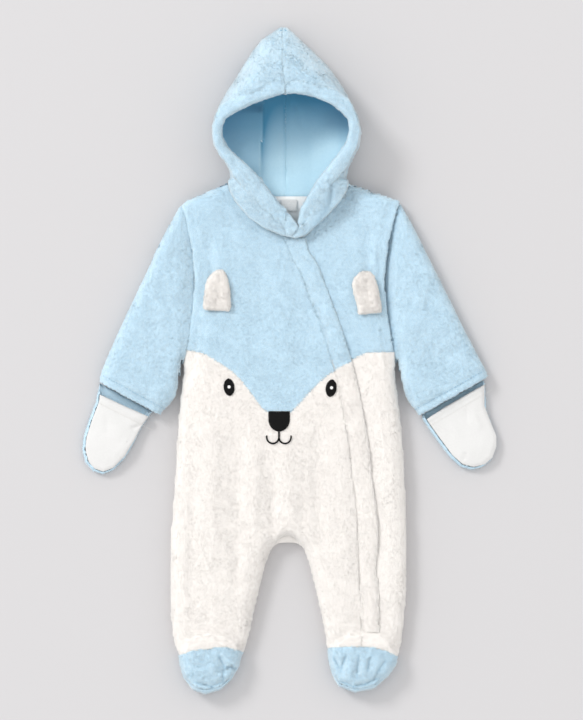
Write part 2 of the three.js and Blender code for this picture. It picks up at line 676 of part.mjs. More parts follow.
function collarForm(inset) {
  return loft(COLLAR.map((row) => ring({ x: row.left, y: row.y }, { x: row.right, y: row.y }, {
    top: row.top, edge: 34, inset, over: 4, under: 2, floor: inset ? 5 : 19, seam: 24,
  })));
}

const hoodZone = [
  ...NECKLINE, { x: 130, y: 216 }, { x: 130, y: 440 }, { x: -130, y: 440 }, { x: -130, y: 216 },
];
const collarOuter = collarForm(0).intersect(prism(inward(NECKLINE, SEAM_GAP), 0, 120));
const collarInner = collarForm(WALL).intersect(prism(inward(NECKLINE, SEAM_GAP + WALL), -5, 120));
const bagOuter = bagForm(0).intersect(prism(inward(hoodZone, SEAM_GAP), -5, 120));
const hoodSolid = union(collarOuter, bagOuter);
const hoodHollow = union(collarInner, bagForm(WALL));
const mouth = prism(inward(HOOD_OPENING, -RIM_WIDTH / 2), 22, 130);

function rimTube(grow) {
  const centre = { x: 0, y: 250 };
  const path = inward(HOOD_OPENING, -RIM_WIDTH / 2 + 0.5).map(({ x, y }) => ({
    x, y, z: (y > 215 ? along(HOOD, 'y', 'top', y) : along(COLLAR, 'y', 'top', y)) - 5.5,
  }));
  path[0] = { ...path[0], x: 18, y: 160.5 };
  path[path.length - 1] = { ...path[path.length - 1], x: 7.5, y: 158.5 };
  const sides = 10;
  return loft(path.map((point, i) => {
    const before = path[Math.max(0, i - 1)];
    const after = path[Math.min(path.length - 1, i + 1)];
    const length = Math.hypot(after.x - before.x, after.y - before.y);
    const nx = (after.y - before.y) / length;
    const ny = -(after.x - before.x) / length;
    const outward = (point.x - centre.x) * nx + (point.y - centre.y) * ny > 0 ? 1 : -1;
    const slim = i === 0 || i === path.length - 1 ? 0.5 : 1;
    const { wide = 1 } = HOOD_OPENING[i];
    return Array.from({ length: sides }, (_, k) => {
      const angle = (2 * Math.PI * k) / sides;
      const across = (RIM_WIDTH / 2) * (wide * slim * Math.cos(angle) + wide - 1)
        + Math.sign(Math.cos(angle)) * grow;
      const up = (RIM_HEIGHT / 2) * slim * Math.sin(angle) + Math.sign(Math.sin(angle)) * grow;
      return [point.x + nx * outward * across, point.y + ny * outward * across, point.z + up];
    });
  }));
}

const rim = rimTube(0);
const hoodCloth = hoodSolid.subtract(hoodHollow).subtract(mouth).subtract(rimTube(SEAM_GAP));
const HOOD_SEAM = [{ x: -3, y: 130 }, { x: -3, y: 312 }, { x: -7, y: 350 }, { x: -6.5, y: 440 }];
const hoodHalves = hoodCloth.subtract(seamSheet(HOOD_SEAM));

// Lining and label inside the back of the neck
const LINING = [
  { x: -56, y: 194 }, { x: -66, y: 176 }, { x: -60, y: 150 }, { x: -36, y: 128 }, { x: 0, y: 120 },
  { x: 36, y: 128 }, { x: 60, y: 150 }, { x: 66, y: 176 }, { x: 56, y: 194 },
];
const liningLow = WALL + SEAM_GAP;
const lining = prism(LINING, liningLow, liningLow + LINING_THICK);
const label = block(LABEL.width, LABEL.length, LABEL.thick, [
  LABEL.x, LABEL.y, liningLow + LINING_THICK + SEAM_GAP + LABEL.thick / 2,
]);

// Foot sole: the underside, cut along a slope that rises to the toe
const soleSeam = block(160, 160, SEAM_GAP, [0, 0, 0]).rotate([-20, 0, 0]);

function foot(side) {
  const [x, probeX] = side === 'left' ? [-95, -95] : [89, 89];
  const whole = pieceAt(apart, probeX, -370, 1.5);
  const cut = whole.subtract(soleSeam.translate([x, -371, 17]));
  return {
    upper: pieceAt(cut, x, -362, 30, 6),
    sole: pieceAt(cut, x, -370, 1.5),
  };
}

const suit = new THREE.Group();
suit.name = 'footed_sleepsuit';

function add(name, solid, colour, roughness = 0.95) {
  const tidy = solid.simplify(0.08);
  const { vertProperties, triVerts } = tidy.getMesh();
  const geometry = new THREE.BufferGeometry();
  geometry.setAttribute('position', new THREE.BufferAttribute(new Float32Array(vertProperties), 3));
  geometry.setIndex(new THREE.BufferAttribute(new Uint32Array(triVerts), 1));
  const flat = geometry.toNonIndexed();
  flat.computeVertexNormals();
  const material = new THREE.MeshStandardMaterial({
    color: COLOURS[colour], roughness, metalness: 0,
  });
  const mesh = new THREE.Mesh(flat, material);
  mesh.name = name;
  suit.add(mesh);
}

add('front_overlap_upper', pieceAt(overlap, -60, 60, 27, 8), 'blue');
add('front_overlap_lower', pieceAt(overlap, -60, -120, 27, 8), 'white');
add('front_underlap_upper', pieceAt(underlap, 70, 60, 27, 10), 'blue');
add('front_underlap_lower', pieceAt(underlap, 110, -100, 27, 10), 'white');
add('placket_band_upper', pieceAt(band, 30, 100, 29, 10), 'blue');
add('placket_band_lower', pieceAt(band, 90, -140, 29, 10), 'white');
add('back_upper', pieceAt(backs, 0, 100, 1.5), 'blue');
add('back_lower', pieceAt(backs, 0, -100, 1.5), 'white');
add('sleeve_left', pieceAt(apart, -165, 40, 1.5), 'blue');
add('sleeve_right', pieceAt(apart, 168, 40, 1.5), 'blue');
for (const side of ['left', 'right']) {
  const { back, front } = mitt(side);
  add(`mitt_back_${side}`, back, 'blue');
  add(`mitt_front_${side}`, front, 'white', 0.85);
  const { upper, sole } = foot(side);
  add(`foot_upper_${side}`, upper, 'blue');
  add(`foot_sole_${side}`, sole, 'blue');
  add(`ear_${side}`, ear(EARS[side]), 'white');
}
add('hood_left', pieceAt(hoodHalves, -30, 300, 1.5), 'blue');
add('hood_right', pieceAt(hoodHalves, 30, 300, 1.5), 'blue');
add('hood_rim', rim, 'blue');
add('neck_lining', lining, 'white', 0.85);
add('neck_label', label, 'label', 0.7);

export default suit;
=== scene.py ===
"""Footed baby sleepsuit with a hood, laid out flat. Left and right are as seen from above."""

import math

import bpy
import numpy as np
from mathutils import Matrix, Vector
from mathutils.bvhtree import BVHTree


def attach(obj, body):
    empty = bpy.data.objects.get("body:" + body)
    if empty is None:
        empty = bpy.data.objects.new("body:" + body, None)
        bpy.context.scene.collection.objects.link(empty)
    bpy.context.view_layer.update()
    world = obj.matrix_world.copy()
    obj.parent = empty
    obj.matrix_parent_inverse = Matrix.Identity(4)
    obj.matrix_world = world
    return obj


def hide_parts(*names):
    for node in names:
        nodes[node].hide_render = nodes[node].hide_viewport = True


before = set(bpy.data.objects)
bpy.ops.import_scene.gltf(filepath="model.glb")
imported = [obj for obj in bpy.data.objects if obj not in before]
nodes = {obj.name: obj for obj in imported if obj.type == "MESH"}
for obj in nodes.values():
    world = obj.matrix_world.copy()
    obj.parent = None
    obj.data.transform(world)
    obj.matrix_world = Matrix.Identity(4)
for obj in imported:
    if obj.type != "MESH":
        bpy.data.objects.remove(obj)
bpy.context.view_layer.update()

MM = 0.001

# Pile, in mm: how far a shell sinks to make room for it, and the size and lean of its tufts
PILE_SINK = 0.9
PILE_LENGTH = 2.2
PILE_WIDTH = 0.7
PILE_LEAN = (0, -0.3, -0.8)

# Lowest height of any point, and the height at which front and back meet at the sides, in mm
LOWEST = 0.05
SIDE_SEAM = 11

# Seam lines in plan, in mm, the same as the solids have
WAIST_OVERLAP = [
    (-150, 14), (-123, 14), (-100, 9), (-84, -1), (-68, -12), (-54, -26), (-42, -42), (-31, -57),
    (-24, -61), (3, -61), (14, -50), (28, -34), (44, -19), (60, -8), (76, 0), (84, 3),
]
WAIST_UNDERLAP = [(36, 1), (76, 2.5), (94, 10), (150, 11)]
ARMHOLE_LEFT = [
    (-136, 205), (-127, 183), (-117, 145), (-113, 118), (-112, 92), (-115, 58), (-119, 32),
    (-123.5, 8), (-125.4, -6),
]
ARMHOLE_RIGHT = [
    (139, 207), (128, 178), (120, 145), (116, 118), (114.5, 92), (117.5, 58), (122, 32),
    (126.5, 8), (128.2, -6),
]
ANKLE_LEFT = [
    (-150, -358), (-130, -353), (-112, -346), (-89, -343), (-73, -343), (-57, -348), (-40, -352),
]
ANKLE_RIGHT = [(30, -345), (47, -344), (85, -341), (110, -344), (122, -350), (150, -364)]
NECKLINE = [
    (-71, 216), (-70, 206), (-62, 191), (-46, 172), (-27, 160), (-9, 152), (8, 148), (20, 151),
    (33, 163), (46, 175), (60, 191), (69, 206), (70.5, 216),
]
PLACKET_EDGE = [
    (20, 151), (24.5, 132), (37, 114), (48, 82), (62, 47), (76, 1), (83, -24), (89, -54),
    (96.5, -97), (101, -141), (106, -177), (108, -214), (109, -251), (111, -290), (112, -344),
]

# The placket band, on the left of its edge: width, pitch of its snaps, left side and lower end
BAND_WIDTH = 25
BAND_PITCH = 46
BAND_LINE = [(x - BAND_WIDTH, y) for x, y in PLACKET_EDGE[:14]] + [(87, -334)]
BAND_CUT = [(87, -331), (87, -352)]

# Where the band starts to come down at its lower end, where it is down, and the ankle, in y
BAND_FALL = -296
BAND_DOWN = -322
BAND_ANKLE = -336

# Hems of the sleeves, then the hood: its middle seam, mouth, rim and the seam at the back neck
HEM_LEFT = [(-227.5, -25.5), (-152.5, -66)]
HEM_RIGHT = [(240, -19), (155.5, -67)]
HOOD_SEAM = [(-3, 130), (-3, 312), (-7, 350), (-6.5, 400)]
HOOD_OPENING = [
    (12.5, 166), (15.5, 183), (23, 196.5), (33, 214), (47, 232), (60, 247), (69.5, 262),
    (72.5, 276), (71, 288), (63, 297), (50, 307), (30, 315), (9, 319), (-8, 318), (-27, 312),
    (-46, 305), (-62, 297), (-75, 289), (-79, 279), (-79, 268), (-72, 254), (-55, 239), (-33, 218),
    (-18, 197), (-3, 180), (11, 163),
]
RIM_WIDTH = 13
BACK_NECK = [(-80, 196), (80, 196)]

# Side lines of the hood: y, left x, right x
HOOD_SIDES = np.array([
    (196, -66, 66), (213, -69, 68), (229, -71, 70), (244, -80, 77), (258, -90, 84.5),
    (275, -92, 87.5), (292, -89, 83.5), (308, -82, 75.5), (324, -73, 67.5), (340, -62.5, 57),
])

# Creases and puffs: start and end in plan, half width and height, in mm
CREASES = [
    (-114, -35, -117, -335, 7, -1.3), (-91, -60, -92, -330, 8, 0.9), (-61, -75, -64, -330, 7, -1.3),
    (-43, -85, -42, -200, 8, 0.9), (-22, -120, -20, -216, 6, -1.4), (-1, -90, -2, -195, 9, 0.9),
    (35, -70, 37, -235, 7, -1.2), (60, -60, 74, -325, 8, 0.7), (18, -120, 17, -214, 6, -0.8),
    (-100, 168, -88, 55, 6, -1.5), (-84, 150, -74, 40, 7, 1.0), (97, 168, 90, 55, 6, -1.4),
    (104, 150, 100, 60, 5, 0.8), (-40, 135, -28, 20, 9, -0.8), (-6, 120, 0, -30, 9, 0.8),
    (20, 90, 30, 0, 8, -0.7), (-60, 60, -52, -10, 8, 0.7), (-96, -60, -75, -110, 6, -0.6),
    (-30, -70, 12, -92, 6, -0.4), (-80, -150, -50, -185, 7, -0.5), (10, -150, 45, -178, 7, -0.5),
    (-36, -232, -52, -300, 6, -0.9), (32, -236, 48, -300, 6, -0.9),
    (-178, 104, -158, 48, 6, -1.2), (-150, 78, -137, 52, 5, -1.3), (-160, 130, -134, 104, 7, -0.9),
    (-133, 77, -128, 104, 5, 0.9), (-206, 20, -172, -6, 7, -0.9), (-190, 50, -160, 22, 7, 0.8),
    (180, 112, 162, 52, 6, -1.1), (152, 82, 139, 54, 5, -1.2), (162, 136, 136, 106, 7, -0.9),
    (212, 24, 178, -4, 7, -0.9), (196, 56, 166, 24, 7, 0.8), (206, -4, 196, -24, 6, -0.6),
]

FOOT_CREASES = [
    (-84, -352, -76, -366, 3.0, -1.9), (-76, -366, -62, -368, 2.8, -1.9),
    (-77, -366, -79, -382, 2.8, -1.4), (-106, -350, -98, -362, 3.2, -1.0),
    (-120, -356, -110, -366, 3.0, -0.9), (-112, -384, -92, -389, 2.6, -1.4),
    (-92, -389, -72, -382, 2.6, -1.4), (54, -353, 60, -366, 2.8, -1.6),
    (68, -352, 63, -370, 2.8, -1.8), (84, -352, 82, -378, 2.8, -1.9),
    (99, -352, 94, -370, 2.8, -1.6), (116, -358, 106, -372, 2.8, -1.4),
    (60, -382, 78, -389, 2.6, -1.6), (78, -389, 92, -386, 2.6, -1.6),
    (92, -386, 108, -379, 2.6, -1.6), (-92, -360, -88, -374, 6, 1.8),
    (-68, -358, -70, -362, 5, 1.6), (-84, -378, -70, -376, 5, 1.4),
    (-104, -366, -102, -380, 7, 1.4), (55, -370, 58, -378, 5, 1.4), (73, -360, 72, -378, 5, 1.8),
    (91, -360, 90, -378, 5, 1.8), (106, -362, 102, -374, 4, 1.2),
]

# Darkest and lightest colour of each cloth
PALETTE = {
    "blue": ((0.655, 0.838, 0.945), (0.735, 0.898, 0.985)),
    # The roots under the pile are darker than the pile: painted shade at the foot of the pile and
    # in bald crevices.
    "blue_root": ((0.540, 0.740, 0.870), (0.590, 0.780, 0.900)),
    # Inside the hood the blue is darker than outside: partly the smoother back of the cloth, partly
    # painted shade.
    "blue_inside": ((0.540, 0.780, 0.900), (0.590, 0.820, 0.930)),
    # The neck lining is whiter than the mitts' jersey of the same cloth: painted light in the
    # shaded neck.
    "lining": ((0.940, 0.935, 0.920), (0.970, 0.965, 0.950)),
    "white": ((0.945, 0.905, 0.865), (0.980, 0.955, 0.925)),
    # Darker white roots: painted shade at the foot of the pile, as for the blue.
    "white_root": ((0.920, 0.880, 0.840), (0.945, 0.915, 0.880)),
    "jersey": ((0.730, 0.725, 0.715), (0.780, 0.775, 0.765)),
}


def nearest_on(points, line):
    """The nearest place on a plan line to each point, how far along it that is, and its length."""
    best = np.full(len(points), 1e9)
    place = np.zeros((len(points), 2))
    along = np.zeros(len(points))
    run = 0.0
    for start, end in zip(line, line[1:]):
        start, step = np.array(start, float), np.subtract(end, start).astype(float)
        length = np.hypot(*step)
        part = np.clip((points[:, :2] - start) @ step / length**2, 0, 1)
        here = start + part[:, None] * step
        off = np.hypot(*(points[:, :2] - here).T)
        near = off < best
        best[near], place[near] = off[near], here[near]
        along[near] = run + part[near] * length
        run += length
    return place, along, run


def line_distance(points, line):
    """Distance in plan from points to a line, and how far along it the nearest place is."""
    place, along, _ = nearest_on(points, line)
    return np.hypot(*(points[:, :2] - place).T), along


def waves(points, scale, seed):
    """Smooth noise of unit spread and about the given wavelength, in mm."""
    count = 20
    rng = np.random.default_rng(seed)
    direction = rng.normal(size=(count, 3))
    direction /= np.linalg.norm(direction, axis=1)[:, None]
    pace = 2 * math.pi / (scale * rng.uniform(0.7, 1.5, count))
    phase = rng.uniform(0, 2 * math.pi, count)
    return np.sin(points @ (direction * pace[:, None]).T + phase).sum(1) * math.sqrt(2 / count)


def coordinates(mesh):
    """A mesh's points in mm."""
    points = np.empty(len(mesh.vertices) * 3)
    mesh.vertices.foreach_get("co", points)
    return points.reshape(-1, 3) / MM


def set_coordinates(mesh, points):
    mesh.vertices.foreach_set("co", (points * MM).ravel())
    mesh.update()


def vertex_normals(mesh):
    normals = np.empty(len(mesh.vertices) * 3)
    mesh.vertices.foreach_get("normal", normals)
    return normals.reshape(-1, 3)


def smoothed(mesh, points, rounds):
    """Smooths out facets without shrinking the form."""
    edges = np.empty(len(mesh.edges) * 2, int)
    mesh.edges.foreach_get("vertices", edges)
    a, b = edges.reshape(-1, 2).T
    count = np.bincount(edges, minlength=len(points))[:, None]
    for step in range(rounds * 2):
        share = 0.55 if step % 2 == 0 else -0.57
        total = np.stack(
            [np.bincount(a, points[b, k], len(points)) + np.bincount(b, points[a, k], len(points))
             for k in range(3)], axis=1)
        points = points + share * (total / count - points)
    return points


# Share of the faces kept on pieces that are flat or hardly seen
THINNED = {
    "back_upper": 0.3, "back_lower": 0.3, "neck_lining": 0.45,
    "mitt_front_left": 0.6, "mitt_front_right": 0.6,
}


def cloth(node, voxel, rounds):
    """A fine, even mesh on the form of a solid."""
    mesh = nodes[node].data.copy()
    mesh.transform(nodes[node].matrix_world)
    piece = bpy.data.objects.new(node + "_cloth", mesh)
    bpy.context.collection.objects.link(piece)
    grid = piece.modifiers.new("grid", "REMESH")
    grid.mode = "VOXEL"
    grid.voxel_size = voxel * MM
    if node in THINNED:
        piece.modifiers.new("thin", "DECIMATE").ratio = THINNED[node]
    evaluated = piece.evaluated_get(bpy.context.evaluated_depsgraph_get())
    made = bpy.data.meshes.new_from_object(evaluated)
    piece.modifiers.clear()
    piece.data = made
    set_coordinates(made, smoothed(made, coordinates(made), rounds))
    made.polygons.foreach_set("use_smooth", np.ones(len(made.polygons), bool))
    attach(piece, "root")
    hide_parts(node)
    return piece


def ridge(points, x0, y0, x1, y1, width, height):
    """A puff, or a crease where the height is below 0, fading towards both ends of its line."""
    off, run = line_distance(points, [(x0, y0), (x1, y1)])
    length = math.hypot(x1 - x0, y1 - y0)
    fade = np.clip(np.minimum(run, length - run) / (0.25 * length), 0.15, 1)
    return height * np.exp(-((off / width) ** 2)) * fade


def dip(points, line, width, depth, pucker, pitch, seed):
    """A seam's groove, with small puckers across it."""
    off, run = line_distance(points, line)
    groove = -depth * np.exp(-((off / width) ** 2))
    wander = waves(points, 40, seed) * 1.6
    ripple = np.sin(2 * math.pi * run / pitch + wander) * np.exp(-((off / (2.6 * width)) ** 2))
    return groove + pucker * ripple


def roll(points, line, away, width, height):
    """A soft roll beside a seam, its crest at a distance from it."""
    off, _ = line_distance(points, line)
    return height * np.exp(-(((off - away) / width) ** 2))


def body_relief(points):
    """Creases of the body, legs and sleeves, and the seams at the waist and ankles."""
    height = 0.45 * waves(points, 70, 3) + 0.10 * waves(points, 26, 4) + 0.05 * waves(points, 11, 5)
    for crease in CREASES:
        height += ridge(points, *crease)
    height += dip(points, WAIST_OVERLAP, 3.0, 0.3, 0.1, 13, 6)
    height += dip(points, WAIST_UNDERLAP, 3.0, 0.3, 0.1, 13, 7) * (points[:, 0] > 76)
    height += dip(points, ANKLE_LEFT, 3.2, 0.8, 0.3, 15, 10)
    height += dip(points, ANKLE_RIGHT, 3.2, 0.8, 0.3, 15, 11)
    return height


def front_relief(points):
    """Adds the armholes and the neckline, each a groove with a roll beside it."""
    height = body_relief(points)
    for line, seed in ((ARMHOLE_LEFT, 8), (ARMHOLE_RIGHT, 9)):
        height += roll(points, line, 3.5, 3.5, 0.9) + roll(points, line, 10, 3, -0.6)
        height += dip(points, line, 1.6, 0.3, 0.1, 15, seed)
    height += roll(points, NECKLINE, 3.0, 2.6, 0.7) + roll(points, NECKLINE, 7.5, 2.6, -0.5)
    height += dip(points, NECKLINE, 1.5, 0.2, 0.1, 12, 12)
    height += ridge(points, 106, 150, 110, 92, 2.2, -1.3)
    height += ridge(points, 112, 146, 113, 100, 2.0, -0.9)
    return height


# Seams along each piece, by the start of its name
SEAMS = {
    "front_overlap": (
        WAIST_OVERLAP, ARMHOLE_LEFT, ANKLE_LEFT, ANKLE_RIGHT, NECKLINE, BAND_LINE, BAND_CUT,
    ),
    "front_underlap": (
        WAIST_UNDERLAP, ARMHOLE_RIGHT, ANKLE_RIGHT, NECKLINE, BAND_LINE, BAND_CUT,
    ),
    "placket": (WAIST_OVERLAP, NECKLINE),
    "back": (
        WAIST_OVERLAP, WAIST_UNDERLAP, ARMHOLE_LEFT, ARMHOLE_RIGHT, ANKLE_LEFT, ANKLE_RIGHT,
        BACK_NECK,
    ),
    "sleeve": (ARMHOLE_LEFT, ARMHOLE_RIGHT),
    "foot": (ANKLE_LEFT, ANKLE_RIGHT),
    "hood": (HOOD_SEAM, NECKLINE),
}


def raise_points(piece, relief, sink):
    """Moves a shell's points out by a relief and in for the pile, and seamed edges together."""
    mesh = piece.data
    points, normals = coordinates(mesh), vertex_normals(mesh)
    # How clear each point is of a seam, in plan or at the sides, and its pull towards the seam
    clear = np.ones(len(points))
    if piece.name.startswith(("front", "back")):
        clear -= np.exp(-(((points[:, 2] - SIDE_SEAM) / 2.5) ** 2))
    pull = np.zeros((len(points), 2))
    seams = next((lines for start, lines in SEAMS.items() if piece.name.startswith(start)), ())
    for line in seams:
        away = nearest_on(points, line)[0] - points[:, :2]
        off = np.hypot(*away.T)
        clear *= 1 - np.exp(-((off / 3.0) ** 2))
        step = np.minimum(off + 0.35, 2.2) * np.exp(-((off / 2.6) ** 2))
        pull += away * (step / np.maximum(off, 1e-3))[:, None]
    level = np.clip((np.abs(normals[:, 2]) - 0.72) / 0.25, 0, 1)
    edge = (1 - clear) * (1 - level)
    under = (normals[:, 2] < -0.3) & (points[:, 2] > 7)
    # Relief: along the normals on the hood, and on other pieces straight up, the whole top layer
    lift = relief(points)
    if piece.name.startswith("hood"):
        upward = np.clip(normals[:, 2] * 1.6 + 0.2, 0, 1)
        off_floor = np.clip((points[:, 2] - 1.0) / 2.0, 0, 1)
        points += normals * (lift * upward * off_floor)[:, None]
    else:
        points[:, 2] += lift * np.clip((points[:, 2] - 8) / 4, 0, 1)
    points += normals * (~under * (0.3 * edge - sink * (1 - edge)))[:, None]
    points[:, :2] += pull
    points[:, 2] = np.maximum(points[:, 2], LOWEST)
    set_coordinates(mesh, points)


def node_input(node, name, value):
    node.inputs[name].default_value = value


def new_material(name, roughness, sheen, gloss):
    """A material, its node tree and its shader."""
    material = bpy.data.materials.new(name)
    material.use_nodes = True
    shader = material.node_tree.nodes["Principled BSDF"]
    node_input(shader, "Roughness", roughness)
    node_input(shader, "Sheen Weight", sheen)
    node_input(shader, "Specular IOR Level", gloss)
    return material, material.node_tree, shader


def texture(tree, kind, values):
    """A texture on the piece's own coordinates; gives its outlet."""
    place = tree.nodes.new("ShaderNodeTexCoord")
    node = tree.nodes.new(kind)
    for name, value in values.items():
        node_input(node, name, value)
    tree.links.new(place.outputs["Object"], node.inputs["Vector"])
    return node.outputs["Fac"]


def scaled(tree, value, factor, added=None):
    """A value times a factor, with another value added where there is one; gives the outlet."""
    node = tree.nodes.new("ShaderNodeMath")
    node.operation = "MULTIPLY" if added is None else "MULTIPLY_ADD"
    node.inputs[1].default_value = factor
    tree.links.new(value, node.inputs[0])
    if added is not None:
        tree.links.new(added, node.inputs[2])
    return node.outputs[0]


def colour_ramp(tree, value, low, high, start, end):
    """A ramp from one colour to another; gives its outlet."""
    ramp = tree.nodes.new("ShaderNodeValToRGB")
    first, last = ramp.color_ramp.elements
    first.position, first.color = start, (*low, 1)
    last.position, last.color = end, (*high, 1)
    tree.links.new(value, ramp.inputs["Fac"])
    return ramp.outputs["Color"]


def with_painted_shade(tree, colour, painted_shade_colour):
    """A colour drawn towards a painted shade colour by the mesh's depth attribute, which holds
    painted shade; gives the outlet.
    """
    depth = tree.nodes.new("ShaderNodeAttribute")
    depth.attribute_name = "depth"
    mix = tree.nodes.new("ShaderNodeMix")
    mix.data_type = "RGBA"
    ends = [socket for socket in mix.inputs if socket.type == "RGBA"]
    ends[1].default_value = (*painted_shade_colour, 1)
    tree.links.new(depth.outputs["Fac"], mix.inputs["Factor"])
    tree.links.new(colour, ends[0])
    return next(socket for socket in mix.outputs if socket.type == "RGBA")


def add_bump(tree, value, shader, strength, distance):
    bump = tree.nodes.new("ShaderNodeBump")
    node_input(bump, "Strength", strength)
    node_input(bump, "Distance", distance * MM)
    tree.links.new(value, bump.inputs["Height"])
    tree.links.new(bump.outputs["Normal"], shader.inputs["Normal"])


def cloth_material(name, low, high, mottle, bump, sheen, painted_shade_colour=None):
    """Fabric: colour mottled in two sizes, a fine bump and sheen, and painted shade drawn in by the
    mesh's depth attribute.
    """
    material, tree, shader = new_material(name, 0.92, sheen, 0.15)
    node_input(shader, "Sheen Roughness", 0.45)
    noise = "ShaderNodeTexNoise"
    coarse = texture(tree, noise, {"Scale": mottle, "Detail": 3.0, "Roughness": 0.6})
    fine = texture(tree, noise, {"Scale": mottle * 3.2, "Detail": 2.0})
    both = scaled(tree, coarse, 0.55, scaled(tree, fine, 0.45))
    colour = colour_ramp(tree, both, low, high, 0.32, 0.68)
    if painted_shade_colour:
        colour = with_painted_shade(tree, colour, painted_shade_colour)
    tree.links.new(colour, shader.inputs["Base Color"])
    add_bump(tree, both, shader, 0.8, bump)
    return material


def plain_material(name, colour, roughness, sheen, thread=0.0):
    """Tape or thread: colour with a fine grain, and fine diagonal lines where it has threads."""
    material, tree, shader = new_material(name, roughness, sheen, 0.2)
    low, high = [c * 0.86 for c in colour], [min(1, c * 1.1) for c in colour]
    grain = texture(tree, "ShaderNodeTexNoise", {"Scale": 900.0})
    tree.links.new(colour_ramp(tree, grain, low, high, 0.0, 1.0), shader.inputs["Base Color"])
    if thread:
        lines = texture(tree, "ShaderNodeTexWave", {"Scale": thread, "Distortion": 1.2})
        lines.node.bands_direction = "DIAGONAL"
        add_bump(tree, lines, shader, 0.7, 0.25)
    return material


# Colours that painted shade draws the blue towards: outside by the armhole, collar, placket and
# foot creases, and inside the hood.
PAINTED_SHADE_BLUE = (0.20, 0.46, 0.66)
PAINTED_HOOD_SHADE_BLUE = (0.10, 0.33, 0.51)
materials = {
    "blue": cloth_material("blue_plush", *PALETTE["blue"], 300.0, 0.5, 0.7, PAINTED_SHADE_BLUE),
    "blue_root": cloth_material(
        "blue_plush_root", *PALETTE["blue_root"], 300.0, 0.5, 0.5, PAINTED_SHADE_BLUE
    ),
    "blue_inside": cloth_material(
        "blue_plush_inside", *PALETTE["blue_inside"], 300.0, 0.3, 0.2, PAINTED_HOOD_SHADE_BLUE
    ),
    "white": cloth_material("white_plush", *PALETTE["white"], 300.0, 0.5, 0.6),
    "white_root": cloth_material("white_plush_root", *PALETTE["white_root"], 300.0, 0.5, 0.4),
    "lining": cloth_material("white_jersey_lining", *PALETTE["lining"], 700.0, 0.25, 0.05),
    "jersey": cloth_material("white_jersey", *PALETTE["jersey"], 700.0, 0.25, 0.05),
    "label": plain_material("label_tape", (0.88, 0.88, 0.87), 0.5, 0.1, 2500.0),
    "blue_thread": plain_material("blue_thread", (0.40, 0.62, 0.78), 0.6, 0.1),
    "white_thread": plain_material("white_thread", (0.74, 0.72, 0.69), 0.6, 0.1),
    "black_thread": plain_material(
        "black_thread", (0.0025, 0.0025, 0.003), 0.6, 0.0, 1500.0
    ),
    "bright_thread": plain_material("bright_thread", (0.86, 0.86, 0.85), 0.45, 0.1),
}


def shadow_side(points):
    """Painted shade: how far the blue is darkened by the right armhole, collar and placket, and in
    the feet's creases.
    """
    x, y = points[:, 0], points[:, 1]
    arm = line_distance(points, ARMHOLE_RIGHT)[0]
    arm_x, arm_y = np.array(ARMHOLE_RIGHT[::-1]).T
    fade = np.clip((y + 8) / 30, 0, 1) * np.clip((206 - y) / 40, 0, 1)
    depth = 0.5 * (x > np.interp(y, arm_y, arm_x)) * np.exp(-((arm / 6) ** 1.5)) * fade
    collar = line_distance(points, [(52, 208), (44, 180), (32, 164)])[0]
    depth += 0.3 * np.exp(-((collar / 5.5) ** 2))
    for x0, y0, x1, y1, _, height in FOOT_CREASES:
        if height < -1.2:
            crease = line_distance(points, [(x0, y0), (x1, y1)])[0]
            depth += 0.34 * np.exp(-((crease / 1.5) ** 2))
    edge = line_distance(points, PLACKET_EDGE)[0]
    edge_x = np.interp(y, [1, 47, 82, 114, 151], [76, 62, 48, 37, 20])
    return depth + 0.15 * np.exp(-edge / 8) * (x > edge_x)


# Stores painted shade, from 0 to 1, as the mesh's depth attribute.
def set_painted_shade(mesh, values):
    layer = mesh.attributes.new("depth", "FLOAT", "POINT")
    layer.data.foreach_set("value", np.clip(values, 0, 1))


def dress(piece, colour, part=""):
    """Gives a piece one cloth, or the darker colour of its root under the pile, which is painted
    shade.
    """
    piece.data.materials.clear()
    piece.data.materials.append(materials[colour + part])


